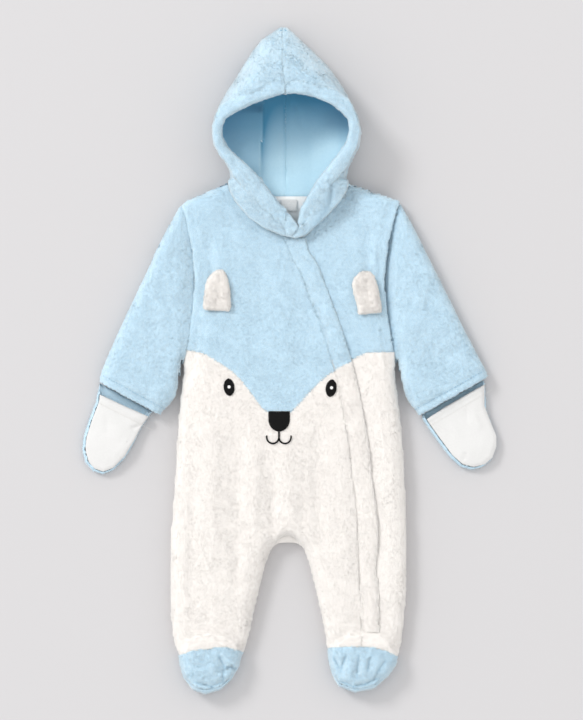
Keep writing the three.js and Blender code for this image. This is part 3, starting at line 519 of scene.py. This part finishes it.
def pile(piece, colour, count, seed, keep, fluff=1.0):
    """Short pile as single-triangle tufts, standing on the part of a shell that shows."""
    # Places for the roots, even over the faces that are kept
    mesh = piece.data
    mesh.calc_loop_triangles()
    tris = np.empty(len(mesh.loop_triangles) * 3, int)
    mesh.loop_triangles.foreach_get("vertices", tris)
    tris = tris.reshape(-1, 3)
    points, normals = coordinates(mesh), vertex_normals(mesh)
    a, b, c = points[tris[:, 0]], points[tris[:, 1]], points[tris[:, 2]]
    cross = np.cross(b - a, c - a)
    area = np.linalg.norm(cross, axis=1) / 2
    face = cross / np.maximum(2 * area, 1e-9)[:, None]
    weight = area * keep((a + b + c) / 3, face)
    rng = np.random.default_rng(seed)
    chosen = np.searchsorted(np.cumsum(weight), rng.uniform(0, weight.sum(), count))
    chosen = np.minimum(chosen, len(tris) - 1)
    u, v = rng.uniform(size=(2, count))
    over = u + v > 1
    u[over], v[over] = 1 - u[over], 1 - v[over]
    corner = tris[chosen]
    share = np.stack([1 - u - v, u, v], axis=1)[:, :, None]
    root = (points[corner] * share).sum(1)
    normal = (normals[corner] * share).sum(1)
    normal /= np.maximum(np.linalg.norm(normal, axis=1), 1e-9)[:, None]
    # Each tuft leans down the slope, with a swirl, a clumping tilt and a scatter of its own
    swirl = np.stack([waves(root, 24, seed + k) for k in range(3)], axis=1) * 0.14
    tilt = np.stack([waves(root, 5.5, seed + k) for k in (7, 8, 9)], axis=1) * 0.07 * fluff
    swirl += rng.normal(size=(count, 3)) * 0.32 + PILE_LEAN + 2 * tilt
    swirl -= normal * (swirl * normal).sum(1)[:, None]
    clump = np.clip(1 + 0.1 * fluff * waves(root, 5, seed + 5), 0.6, 1.4)
    length = PILE_LENGTH * clump * rng.uniform(0.75, 1.1, count)
    direction = normal * 0.7 + swirl
    direction /= np.linalg.norm(direction, axis=1)[:, None]
    side = np.cross(direction, normal + rng.normal(size=(count, 3)) * 0.3)
    side /= np.maximum(np.linalg.norm(side, axis=1), 1e-9)[:, None]
    facing = (np.cross(side, direction) * normal).sum(1)
    side[facing < 0] *= -1
    # A tuft is a triangle, its base a little inside the shell
    base = root - normal * 0.3
    verts = np.empty((count, 3, 3))
    verts[:, 0] = base - side * PILE_WIDTH / 2
    verts[:, 1] = base + side * PILE_WIDTH / 2
    verts[:, 2] = base + direction * length[:, None]
    verts[:, 2, 2] = np.maximum(verts[:, 2, 2], LOWEST)
    flat = (verts.reshape(-1, 3) * MM).tolist()
    tufts = bpy.data.meshes.new(piece.name + "_pile")
    tufts.from_pydata(flat, [], np.arange(count * 3).reshape(-1, 3).tolist())
    tufts.polygons.foreach_set("use_smooth", np.ones(count, bool))
    # Shaded mostly by the shell's own normal, so that the pile looks soft
    shade = normal + direction * 0.08 + tilt + rng.normal(size=(count, 3)) * 0.05
    shade /= np.linalg.norm(shade, axis=1)[:, None]
    tufts.normals_split_custom_set_from_vertices(np.repeat(shade, 3, axis=0).tolist())
    made = bpy.data.objects.new(piece.name.replace("_cloth", "_pile"), tufts)
    bpy.context.collection.objects.link(made)
    made.visible_shadow = False
    # Painted shade on the blue pile by the right armhole, collar, placket and feet's creases.
    if colour == "blue":
        set_painted_shade(tufts, np.repeat(shadow_side(root), 3))
    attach(made, "root")
    dress(made, colour)
    return made


def seen_from_above(centre, normal):
    return np.clip(normal[:, 2] * 2.5 - 0.3, 0, 1) * (centre[:, 2] > 5)


def seen_from_below(centre, normal):
    return np.clip(-normal[:, 2] * 2 + 0.6, 0, 1) * (centre[:, 2] < 12)


def outside_of_tube(centre, normal):
    top = (normal[:, 2] > 0.3) & (centre[:, 2] > 8.5)
    return top + 0.35 * ((normal[:, 2] < 0.1) & (centre[:, 2] < 10))


def inside_of_hood(centre, normal):
    inward = centre[:, 0] * normal[:, 0] + (centre[:, 1] - 262) * normal[:, 1] < 0
    floor_top = (normal[:, 2] > 0.5) & (centre[:, 2] < 20)
    roof_under = (normal[:, 2] < -0.5) & (centre[:, 2] > 15)
    roof_top = (normal[:, 2] > 0.5) & (centre[:, 2] >= 20)
    sole = (normal[:, 2] < -0.5) & (centre[:, 2] <= 15)
    return floor_top | roof_under | (inward & ~roof_top & ~sole)


def outside_of_hood(centre, normal):
    return ~inside_of_hood(centre, normal) * (normal[:, 2] > -0.6) + 0.0


def everywhere(centre, normal):
    return np.ones(len(centre)) * (0.25 + 0.75 * (normal[:, 2] > -0.5))


# Node: voxel, smoothing, colour, tufts, part that shows, the cut's width, length and area
PLUSH = {
    "front_overlap_upper": (2.5, 5, "blue", 64000, seen_from_above, 0.190, 0.280, 0.0317),
    "front_overlap_lower": (2.3, 5, "white", 110000, seen_from_above, 0.235, 0.370, 0.0652),
    "front_underlap_upper": (2.5, 5, "blue", 31000, seen_from_above, 0.140, 0.215, 0.0194),
    "front_underlap_lower": (2.5, 5, "white", 27000, seen_from_above, 0.095, 0.370, 0.0250),
    "placket_band_upper": (1.9, 4, "blue", 11000, seen_from_above, 0.029, 0.170, 0.0048),
    "placket_band_lower": (1.9, 4, "white", 20000, seen_from_above, 0.029, 0.345, 0.0098),
    "back_upper": (2.8, 4, "blue", 8000, seen_from_below, 0.275, 0.205, 0.0466),
    "back_lower": (2.8, 4, "white", 12000, seen_from_below, 0.300, 0.370, 0.0956),
    "sleeve_left": (2.6, 5, "blue", 51000, outside_of_tube, 0.360, 0.215, 0.0354),
    "sleeve_right": (2.6, 5, "blue", 52000, outside_of_tube, 0.370, 0.220, 0.0373),
    "mitt_back_left": (1.9, 4, "blue", 9000, everywhere, 0.075, 0.105, 0.0058),
    "mitt_back_right": (1.9, 4, "blue", 9000, everywhere, 0.078, 0.105, 0.0062),
    "foot_upper_left": (1.9, 16, "blue", 9500, seen_from_above, 0.082, 0.055, 0.0037),
    "foot_upper_right": (1.9, 16, "blue", 10000, seen_from_above, 0.088, 0.057, 0.0041),
    "foot_sole_left": (1.9, 16, "blue", 9000, everywhere, 0.085, 0.082, 0.0053),
    "foot_sole_right": (1.9, 16, "blue", 9500, everywhere, 0.090, 0.083, 0.0057),
    "hood_left": (2.2, 14, "blue", 54000, outside_of_hood, 0.160, 0.250, 0.0301),
    "hood_right": (2.2, 14, "blue", 52000, outside_of_hood, 0.158, 0.252, 0.0281),
}


def neck_rise(points):
    """How far the back of the neck arches up off the floor under its lining."""
    x, y = points[:, 0], points[:, 1]
    return 15 * np.exp(-(((y - 188) / 26) ** 2) - (x / 48) ** 2)


def hood_fold_x(y):
    """Where the fold that is laid inside the hood runs, from left to right."""
    return -32 + (y - 262) * 0.05


def hood_relief(points):
    """Creases and the middle seam, and inside: the lap of the fold, the right wall and the neck."""
    x, y, z = points.T
    inside = (z < 22) & (y < 318)
    height = 0.5 * waves(points, 55, 21) + 0.18 * waves(points, 20, 22) * (1 - 0.7 * inside)
    off, _ = line_distance(points, HOOD_SEAM)
    height -= (0.5 - 0.25 * inside) * np.exp(-((off / 2.0) ** 2))
    height += 0.35 * np.exp(-(((off - 4.5) / 2.5) ** 2))
    fold_x = hood_fold_x(y)
    lap = 7.5 * np.exp(-np.clip(fold_x - x, 0, 99) / 22) * (x < fold_x)
    lap *= np.clip((308 - y) / 10, 0, 1) * np.clip((y - 212) / 22, 0, 1)
    wall = 13 * np.clip((x - 26) / 34, 0, 1) ** 1.3 * np.clip((300 - y) / 50, 0, 1)
    height += inside * (lap + wall + neck_rise(points))
    height += inside * ridge(points, 14, 300, 16, 276, 3, -0.9)
    height += inside * ridge(points, 6, 312, 9, 300, 2.5, -1.0)
    height += inside * roll(points, BACK_NECK, 3.5, 1.6, 0.7)
    height += ridge(points, -40, 372, -60, 322, 6, -0.7) + ridge(points, 28, 372, 50, 326, 6, -0.6)
    height += ridge(points, 6, 376, 24, 330, 7, 0.6) + ridge(points, 14, 386, 24, 376, 4, -1.2)
    height += ridge(points, 47, 212, 45, 182, 3.5, 1.6) + ridge(points, 53, 208, 49, 184, 3.5, -1.8)
    height += dip(points, NECKLINE, 3.0, 0.5, 0.15, 12, 23)
    return height


def foot_relief(points):
    height = 0.4 * waves(points, 30, 31) + 0.12 * waves(points, 12, 32)
    height += dip(points, ANKLE_LEFT, 4.0, 1.2, 0.35, 14, 33)
    height += dip(points, ANKLE_RIGHT, 4.0, 1.2, 0.35, 14, 34)
    for crease in FOOT_CREASES:
        height += ridge(points, *crease) * (1.7 if crease[5] < -1.2 else 1.0)
    return height


def sleeve_relief(points):
    height = body_relief(points)
    height += dip(points, ARMHOLE_LEFT, 5.0, 1.0, 0.1, 14, 43)
    height += dip(points, ARMHOLE_RIGHT, 8.0, 5.5, 0.1, 14, 44)
    for line, seed in ((HEM_LEFT, 41), (HEM_RIGHT, 42)):
        off, run = line_distance(points, line)
        height -= 1.3 * np.exp(-(((off - 9.5) / 2.2) ** 2))
        ripple = np.sin(2 * math.pi * run / 8 + waves(points, 30, seed))
        height += 0.35 * ripple * np.exp(-((off / 9) ** 2))
    return height


def band_relief(points):
    off, run = line_distance(points, PLACKET_EDGE)
    height = 0.35 * waves(points, 26, 51) + 0.06 * waves(points, 12, 52)
    height += 0.4 * np.cos(2 * math.pi * run / BAND_PITCH) - 0.2
    height -= 0.5 * np.exp(-(((run % BAND_PITCH - BAND_PITCH / 2) / 2.2) ** 2)) * (off > 9)
    height += dip(points, WAIST_OVERLAP, 2.4, 0.3, 0.1, 8, 53)
    return height


def rim_relief(points):
    return 0.5 * waves(points, 30, 61) + 0.15 * waves(points, 13, 62)


def mitt_relief(points):
    return 0.35 * waves(points, 22, 71)


RELIEFS = {
    "front": front_relief, "back": front_relief, "placket": band_relief, "sleeve": sleeve_relief,
    "mitt": mitt_relief, "foot": foot_relief, "hood": hood_relief,
}

shells = {}


def tree_of(*names):
    """The shells of some nodes as one tree for finding heights."""
    verts, faces = [], []
    for name in names:
        mesh = shells[name].data
        start = len(verts)
        verts += [tuple(v.co) for v in mesh.vertices]
        faces += [tuple(start + i for i in p.vertices) for p in mesh.polygons]
    return BVHTree.FromPolygons(verts, faces)


def height_at(x, y, tree=None, fallback=20.0):
    """Height of the topmost cloth at a plan point."""
    hit = (tree or top_surface).ray_cast(Vector((x * MM, y * MM, 0.3)), Vector((0, 0, -1)))
    return hit[0].z / MM if hit[0] else fallback


def settle_band(node):
    """Brings the band's left side and lower end down level with the front beside them."""
    mesh = shells[node].data
    points = coordinates(mesh)
    place = nearest_on(points, PLACKET_EDGE)[0]
    out = points[:, :2] - place
    off = np.hypot(*out.T)
    out /= np.maximum(off, 1e-6)[:, None]
    front, own = tree_of("front_overlap_upper", "front_overlap_lower"), tree_of(node)
    feet = tree_of("front_overlap_lower", "front_underlap_lower")
    kept, base, tuck = 7, 12, 1.3
    for i, (x, y, z) in enumerate(points):
        top = height_at(x, y, own, z)
        if off[i] > kept:
            beside = height_at(*(place[i] + out[i] * (BAND_WIDTH + 8)), front, top)
            share = min(1.0, (off[i] - kept) / (BAND_WIDTH - 8))
            drop = share**1.5 * (top - beside + tuck * share**6)
            points[i, 2] -= drop * min(1.0, max(0.0, (z - base) / max(top - base, 1)))
        if y < BAND_FALL:
            below = height_at(x, BAND_ANKLE, feet, top)
            share = min(1.0, (BAND_FALL - y) / (BAND_FALL - BAND_DOWN))
            points[i, 2] -= share**1.5 * max(0, points[i, 2] - below + tuck * share**6)
    set_coordinates(mesh, points)


# How uneven the pile is where it isn't as it comes, by the start of the node's name
FLUFF = {"front": 0.6, "placket": 0.6}

for order, (node, row) in enumerate(PLUSH.items()):
    voxel, rounds, colour, tufts, shows, width, length, area = row
    kind = node.split("_")[0]
    piece = cloth(node, voxel, rounds)
    raise_points(piece, RELIEFS[kind], 0.1 if kind == "mitt" else PILE_SINK)
    dress(piece, colour, "_root")
    shells[node] = piece
    if kind == "placket":
        settle_band(node)
    cover = pile(piece, colour, tufts, 100 + order, shows, FLUFF.get(kind, 1.0))


def dress_faces(piece, part, chosen):
    """Gives the chosen faces of a piece another finish of its cloth."""
    mesh = piece.data
    mesh.materials.append(materials[part])
    centres = np.empty(len(mesh.polygons) * 3)
    normals = np.empty(len(mesh.polygons) * 3)
    mesh.polygons.foreach_get("center", centres)
    mesh.polygons.foreach_get("normal", normals)
    found = chosen(centres.reshape(-1, 3) / MM, normals.reshape(-1, 3))
    mesh.polygons.foreach_set("material_index", found.astype(int))


def paint_hood_shade_and_light(piece):
    """Painted shade inside the hood: darker to the top, beside the fold on its right, on its left
    below the top, and beside the seam; painted light on the right wall.
    """
    points = coordinates(piece.data)
    x, y, _ = points.T
    fold_x = hood_fold_x(y)
    depth = np.clip((y - 238) / 74, 0, 1) ** 1.1
    beside = (x > fold_x) * np.exp(-((x - fold_x) / 6.5)) * np.clip((y - 200) / 50, 0.35, 1)
    left = (x <= fold_x) * (0.20 - 0.25 * np.clip((y - 280) / 30, 0, 1))
    seam = 0.16 * np.exp(-(((np.abs(x + 3) - 2.2) / 1.2) ** 2))
    wall = 0.35 * np.clip((x - 22) / 26, 0, 1) * np.clip((286 - y) / 40, 0, 1)
    inside = inside_of_hood(points, vertex_normals(piece.data))
    set_painted_shade(piece.data, inside * (depth + 0.7 * beside + left + seam - wall))


for side in ("left", "right"):
    dress_faces(shells[f"hood_{side}"], "blue_inside", inside_of_hood)
    paint_hood_shade_and_light(shells[f"hood_{side}"])


def lay_rim(rim):
    """Spreads the rim's outer half over the hood, and laps its left end over its right one."""
    points, normals = coordinates(rim.data), vertex_normals(rim.data)
    place, run, total = nearest_on(points, HOOD_OPENING)
    out = points[:, :2] - place
    off = np.hypot(*out.T)
    out /= np.maximum(off, 1e-6)[:, None]
    left_end = np.clip((run - total + 30) / 30, 0, 1)
    right_end = np.clip((26 - run) / 26, 0, 1)
    low_left = np.clip((run - total + 95) / 30, 0, 1)
    share = off / (RIM_WIDTH * (1 + 0.35 * low_left))
    # Room to spread in, up to the hood's sides, and low down up to the neckline
    sides = [np.interp(points[:, 1], HOOD_SIDES[:, 0], HOOD_SIDES[:, k]) for k in (1, 2)]
    room = np.minimum(points[:, 0] - sides[0], sides[1] - points[:, 0]) - 2.0
    neck_room = line_distance(points, NECKLINE)[0] - 2.5
    room = np.where(points[:, 1] < 214, neck_room, room)
    spread = np.clip((share - 0.4) / 0.6, 0, 1)
    shift = np.minimum(6.0 * spread**1.3, np.maximum(room, 0))
    shift *= 1 - left_end
    shift += left_end**1.5 * (share - 0.45) * 13
    points[:, :2] += out * shift[:, None]
    points += np.outer(left_end, (1.5, -3.5, 3.5)) + np.outer(right_end**1.5, (-4.0, 0.5, -1.5))
    # The outer edge comes to lie on the hood, but isn't brought down to the floor inside it
    hood = tree_of("hood_left", "hood_right")
    for i in np.flatnonzero((share > 0.75) & (normals[:, 2] > -0.1)):
        top = height_at(points[i, 0], points[i, 1], hood, 0.0)
        reach = off[i] + shift[i] - 12
        if top > 18:
            points[i, 2] = max(points[i, 2], top + 0.9 - 1.4 * max(0.0, reach) / 6)
    set_coordinates(rim.data, smoothed(rim.data, points, 3))


rim = cloth("hood_rim", 1.9, 4)
lay_rim(rim)
raise_points(rim, rim_relief, PILE_SINK * 0.6)
dress(rim, "blue", "_root")
pile(rim, "blue", 36000, 140, everywhere, 1.3)

EAR_SCALE = (1.07, 1.06, 1.0)
EAR_FOLDS = {"left": (-82, 106, -86, 62, 3.5, -0.9), "right": (93, 106, 97, 58, 3.5, -1.0)}


def ear_relief(points):
    return 0.2 * waves(points, 14, 81) + sum(ridge(points, *fold) for fold in EAR_FOLDS.values())


for side, seed in (("left", 151), ("right", 152)):
    ear = cloth(f"ear_{side}", 1.4, 4)
    raise_points(ear, ear_relief, 0)
    grown = coordinates(ear.data)
    middle = (grown.min(0) + grown.max(0)) / 2
    set_coordinates(ear.data, middle + (grown - middle) * EAR_SCALE)
    dress(ear, "white", "_root")
    shells[f"ear_{side}"] = ear
    pile(ear, "white", 9000, seed, everywhere, 1.2)

# Smooth cloth. Node: voxel, cloth, the cut's width, length and area
SMOOTH = {
    "mitt_front_left": (1.1, "jersey", 0.075, 0.095, 0.0053),
    "mitt_front_right": (1.1, "jersey", 0.078, 0.097, 0.0055),
    "neck_lining": (1.2, "jersey", 0.132, 0.074, 0.0081),
    "neck_label": (0.5, "label", 0.019, 0.012, None),
}

# Top edges of the mitt fronts, and creases on them
MITT_TOPS = {"left": [(-232, -42), (-160, -78)], "right": [(158, -78), (240, -30)]}
MITT_CREASES = [
    (-216, -70, -218, -92, 4, -1.0), (-206, -62, -206, -100, 6, 0.8),
    (-176, -76, -192, -82, 2.2, -1.6), (-186, -92, -204, -112, 6, 0.7),
    (215, -58, 214, -82, 2.6, -1.6), (222, -62, 229, -86, 4, 1.0), (200, -66, 204, -104, 6, 0.8),
    (178, -81, 186, -85, 2.0, -1.1), (209, -119, 213, -108, 2.2, -1.3),
    (190, -80, 196, -104, 4, -0.7),
]


def jersey_relief(points):
    """Creases of the mitt fronts, and the turned hems along their top edges."""
    height = 0.35 * waves(points, 34, 91) + 0.1 * waves(points, 13, 92)
    for crease in MITT_CREASES:
        height += ridge(points, *crease)
    for line in MITT_TOPS.values():
        height += roll(points, line, 2.0, 2.2, 0.9) + roll(points, line, 5.6, 1.1, -0.5)
    return height


def lay_jersey(node, piece):
    """Draws a mitt's front to the seam on its right, and the neck lining up to the hood's."""
    points = coordinates(piece.data)
    if node == "neck_lining":
        points[:, 1] += 3.6 * (points[:, 1] > 188)
        points[:, 2] += neck_rise(points)
    else:
        low, high = points[:, 0].min(), points[:, 0].max()
        share = (points[:, 0] - low) / (high - low)
        points[:, 0] += 3.4 * share**2 - 0.6
        points[:, 1] -= 0.7 * np.clip((-100 - points[:, 1]) / 12, 0, 1)
        points[:, 2] += 0.5 * share
    if node == "mitt_front_right":
        rise = np.clip((points[:, 1] + 100) / 40, 0, 1)
        points[:, :2] += np.outer(rise, (-2.4, 4.2))
    set_coordinates(piece.data, points)


for node, (voxel, colour, width, length, area) in SMOOTH.items():
    piece = cloth(node, voxel, 3)
    if node == "neck_label":
        points = coordinates(piece.data)
        set_coordinates(piece.data, points + np.outer(neck_rise(points) + 0.6, (0, 0, 1)))
    else:
        raise_points(piece, jersey_relief, 0)
        lay_jersey(node, piece)
    dress(piece, colour)
    # The lining's whiter colour is painted light for the shaded neck.
    if node == "neck_lining":
        piece.data.materials[0] = materials["lining"]
    shells[node] = piece


top_surface = tree_of(
    "front_overlap_upper", "front_overlap_lower", "front_underlap_upper", "front_underlap_lower",
    "placket_band_upper", "placket_band_lower", "sleeve_left", "sleeve_right",
    "hood_left", "hood_right", "ear_left", "ear_right", "foot_upper_left", "foot_upper_right",
    "mitt_front_left", "mitt_front_right",
)


def add_mesh(name, verts, faces, material):
    """A smooth piece that rides on the root, from points in mm."""
    mesh = bpy.data.meshes.new(name)
    mesh.from_pydata([tuple(c * MM for c in v) for v in verts], [], faces)
    mesh.polygons.foreach_set("use_smooth", np.ones(len(mesh.polygons), bool))
    mesh.materials.append(materials[material])
    piece = bpy.data.objects.new(name, mesh)
    bpy.context.collection.objects.link(piece)
    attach(piece, "root")
    return piece


def walk(line, pitch):
    """Points at an even pitch along a plan line, with the direction there."""
    out, run, due = [], 0.0, pitch / 2
    for (x0, y0), (x1, y1) in zip(line, line[1:]):
        length = math.hypot(x1 - x0, y1 - y0)
        while due <= run + length:
            part = (due - run) / length
            place = x0 + (x1 - x0) * part, y0 + (y1 - y0) * part
            out.append((*place, (x1 - x0) / length, (y1 - y0) / length))
            due += pitch
        run += length
    return out


def stitches(name, lines, material, pitch=3.6, length=2.7, radius=0.42, lift=0.35):
    """Rows of stitches, each a short six-sided bead that dips at both ends."""
    verts, faces = [], []
    for line in lines:
        for x, y, dx, dy in walk(line, pitch):
            start = len(verts)
            for share, size in ((-0.5, 0.25), (-0.25, 0.9), (0.25, 0.9), (0.5, 0.25)):
                px, py = x + dx * length * share, y + dy * length * share
                z = height_at(px, py) + lift + (0.15 if abs(share) < 0.3 else -0.35)
                for k in range(6):
                    turn = k * math.pi / 3
                    side, up = math.cos(turn) * radius * size, math.sin(turn) * radius * size
                    verts.append((px - dy * side, py + dx * side, z + up))
            for ring in range(3):
                for k in range(6):
                    a, b = start + ring * 6 + k, start + ring * 6 + (k + 1) % 6
                    faces.append((a, b, b + 6, a + 6))
            faces.append(tuple(start + 5 - k for k in range(6)))
            faces.append(tuple(start + 18 + k for k in range(6)))
    return add_mesh(name, verts, faces, material)


def beside(line, offset):
    """A line along another one, at a distance to its left."""
    out = []
    for i, (x, y) in enumerate(line):
        (x0, y0), (x1, y1) = line[max(0, i - 1)], line[min(len(line) - 1, i + 1)]
        length = math.hypot(x1 - x0, y1 - y0)
        out.append((x - (y1 - y0) / length * offset, y + (x1 - x0) / length * offset))
    return out


stitches(
    "stitches_sleeves", [beside(HEM_LEFT, 9.5), beside(HEM_RIGHT, -9.5)],
    "blue_thread",
)
stitches(
    "stitches_mitts", [beside(MITT_TOPS["left"], -5.6), beside(MITT_TOPS["right"], -5.6)],
    "white_thread", 2.6, 1.9, 0.25, 0.2,
)


def patch(name, centre, outline, rise, material, rings=9, lift=0.0):
    """A raised patch of satin stitch on the chest, from a centre and an outline of offsets."""
    lift += 1.2
    verts = [(*centre, height_at(*centre) + lift + rise)]
    faces = []
    count = len(outline)
    for ring in range(1, rings + 1):
        share = ring / rings
        dome = rise * math.sqrt(max(0, 1 - share**2.6)) - (1.6 if ring == rings else 0)
        for dx, dy in outline:
            x, y = centre[0] + dx * share, centre[1] + dy * share
            verts.append((x, y, height_at(x, y) + lift + dome))
    for k in range(count):
        faces.append((0, 1 + k, 1 + (k + 1) % count))
    for ring in range(rings - 1):
        for k in range(count):
            a, b = 1 + ring * count + k, 1 + ring * count + (k + 1) % count
            faces.append((a, a + count, b + count, b))
    return add_mesh(name, verts, faces, material)


def cordlet(name, path, radius, material):
    """A stitched line: a low rounded ridge along plan points."""
    lift = 1.3
    verts, faces = [], []
    for i, (x, y) in enumerate(path):
        (x0, y0), (x1, y1) = path[max(0, i - 1)], path[min(len(path) - 1, i + 1)]
        length = math.hypot(x1 - x0, y1 - y0)
        nx, ny = -(y1 - y0) / length, (x1 - x0) / length
        z = height_at(x, y) + lift
        size = radius * (0.45 if i in (0, len(path) - 1) else 1)
        for k in range(8):
            turn = 2 * math.pi * k / 8
            verts.append((x + nx * math.cos(turn) * size, y + ny * math.cos(turn) * size,
                          z + math.sin(turn) * size * 0.75))
    for i in range(len(path) - 1):
        for k in range(8):
            a, b = i * 8 + k, i * 8 + (k + 1) % 8
            faces.append((a, b, b + 8, a + 8))
    faces.append(tuple(range(7, -1, -1)))
    faces.append(tuple(len(verts) - 8 + k for k in range(8)))
    return add_mesh(name, verts, faces, material)


def oval(width, height, count, lean=0.0, point=1.0):
    """An oval, leaning by an angle in degrees, a little pointed where point is above 1."""
    cos, sin = math.cos(math.radians(lean)), math.sin(math.radians(lean))
    out = []
    for k in range(count):
        angle = 2 * math.pi * k / count
        x = math.copysign(abs(math.cos(angle)) ** point, math.cos(angle)) * width / 2
        y = math.sin(angle) * height / 2
        out.append((x * cos - y * sin, x * sin + y * cos))
    return out


def muzzle(width, height):
    """A flat top, straight upper sides and a round bottom."""
    half, top, shoulder = width / 2, height / 2, height * 0.40
    out = [(half * (1 - k / 4), top) for k in range(8)]
    out += [(-half, top - shoulder * k / 4) for k in range(4)]
    for k in range(24):
        angle = math.pi * (1 + k / 24)
        out.append((half * math.cos(angle), top - shoulder + (height - shoulder) * math.sin(angle)))
    return out + [(half, top - shoulder * (1 - k / 4)) for k in range(4)]


# Face: plain ovals and arcs, about the point of the waist seam
EYES = {"left": ((-71, -31.3), 5, (-71, -31)), "right": ((51, -32.5), -9, (51.5, -32))}
for side, (centre, lean, light) in EYES.items():
    patch(f"eye_{side}", centre, oval(13.6, 21.8, 44, lean, 1.12), 1.1, "black_thread")
    patch(f"eye_light_{side}", light, oval(4.8, 5.0, 20), 0.5, "bright_thread", 4, 1.0)
patch("nose", (-11.2, -72.2), muzzle(26, 24.6), 1.3, "black_thread", lift=0.4)
cordlet("mouth_stem", [(-11.4, -82.5 - 0.9 * k) for k in range(11)], 1.1, "black_thread")
for side, centre in (("left", -18.8), ("right", -4.2)):
    arc = [(centre + 7.3 * math.cos(a), -91.0 - 7.6 * math.sin(a))
           for a in np.linspace(math.radians(-16), math.radians(196), 24)]
    cordlet(f"mouth_{side}", arc, 1.0, "black_thread")


def look_at(obj, target):
    obj.rotation_mode = "QUATERNION"
    obj.rotation_quaternion = (Vector(target) - obj.location).to_track_quat("-Z", "Y")


# Floor, light and camera
PAPER = (0.615, 0.603, 0.610, 1)
FLOOR_HEIGHT = -0.0004
floor_mesh = bpy.data.meshes.new("floor")
floor_mesh.from_pydata([(-6, -6, 0), (6, -6, 0), (6, 6, 0), (-6, 6, 0)], [], [(0, 1, 2, 3)])
floor = bpy.data.objects.new("floor", floor_mesh)
floor.location.z = FLOOR_HEIGHT
bpy.context.collection.objects.link(floor)
paper = bpy.data.materials.new("paper")
paper.use_nodes = True
node_input(paper.node_tree.nodes["Principled BSDF"], "Base Color", PAPER)
node_input(paper.node_tree.nodes["Principled BSDF"], "Roughness", 0.9)
floor_mesh.materials.append(paper)

world = bpy.data.worlds.new("studio")
bpy.context.scene.world = world
world.use_nodes = True
node_input(world.node_tree.nodes["Background"], "Color", (1.0, 1.0, 1.0, 1))
node_input(world.node_tree.nodes["Background"], "Strength", 1.0)


def area_light(name, place, size, power):
    light = bpy.data.lights.new(name, "AREA")
    light.shape = "DISK"
    light.size = size
    light.energy = power
    lamp = bpy.data.objects.new(name, light)
    lamp.location = place
    bpy.context.collection.objects.link(lamp)
    look_at(lamp, (0, 0, 0))


area_light("key", (-7.6, 6.8, 7.6), 3.6, 640)

camera_data = bpy.data.cameras.new("camera")
camera = bpy.data.objects.new("camera", camera_data)
bpy.context.collection.objects.link(camera)
VIEW_HEIGHT = 8.0
FRAME_HEIGHT = 0.864
SENSOR = 36
camera_data.sensor_width = SENSOR
camera_data.lens = SENSOR * VIEW_HEIGHT / FRAME_HEIGHT
camera_data.clip_end = 100
camera.location = (0.0036, 0.0012, VIEW_HEIGHT)
bpy.context.scene.camera = camera
bpy.context.scene.view_settings.view_transform = "Standard"
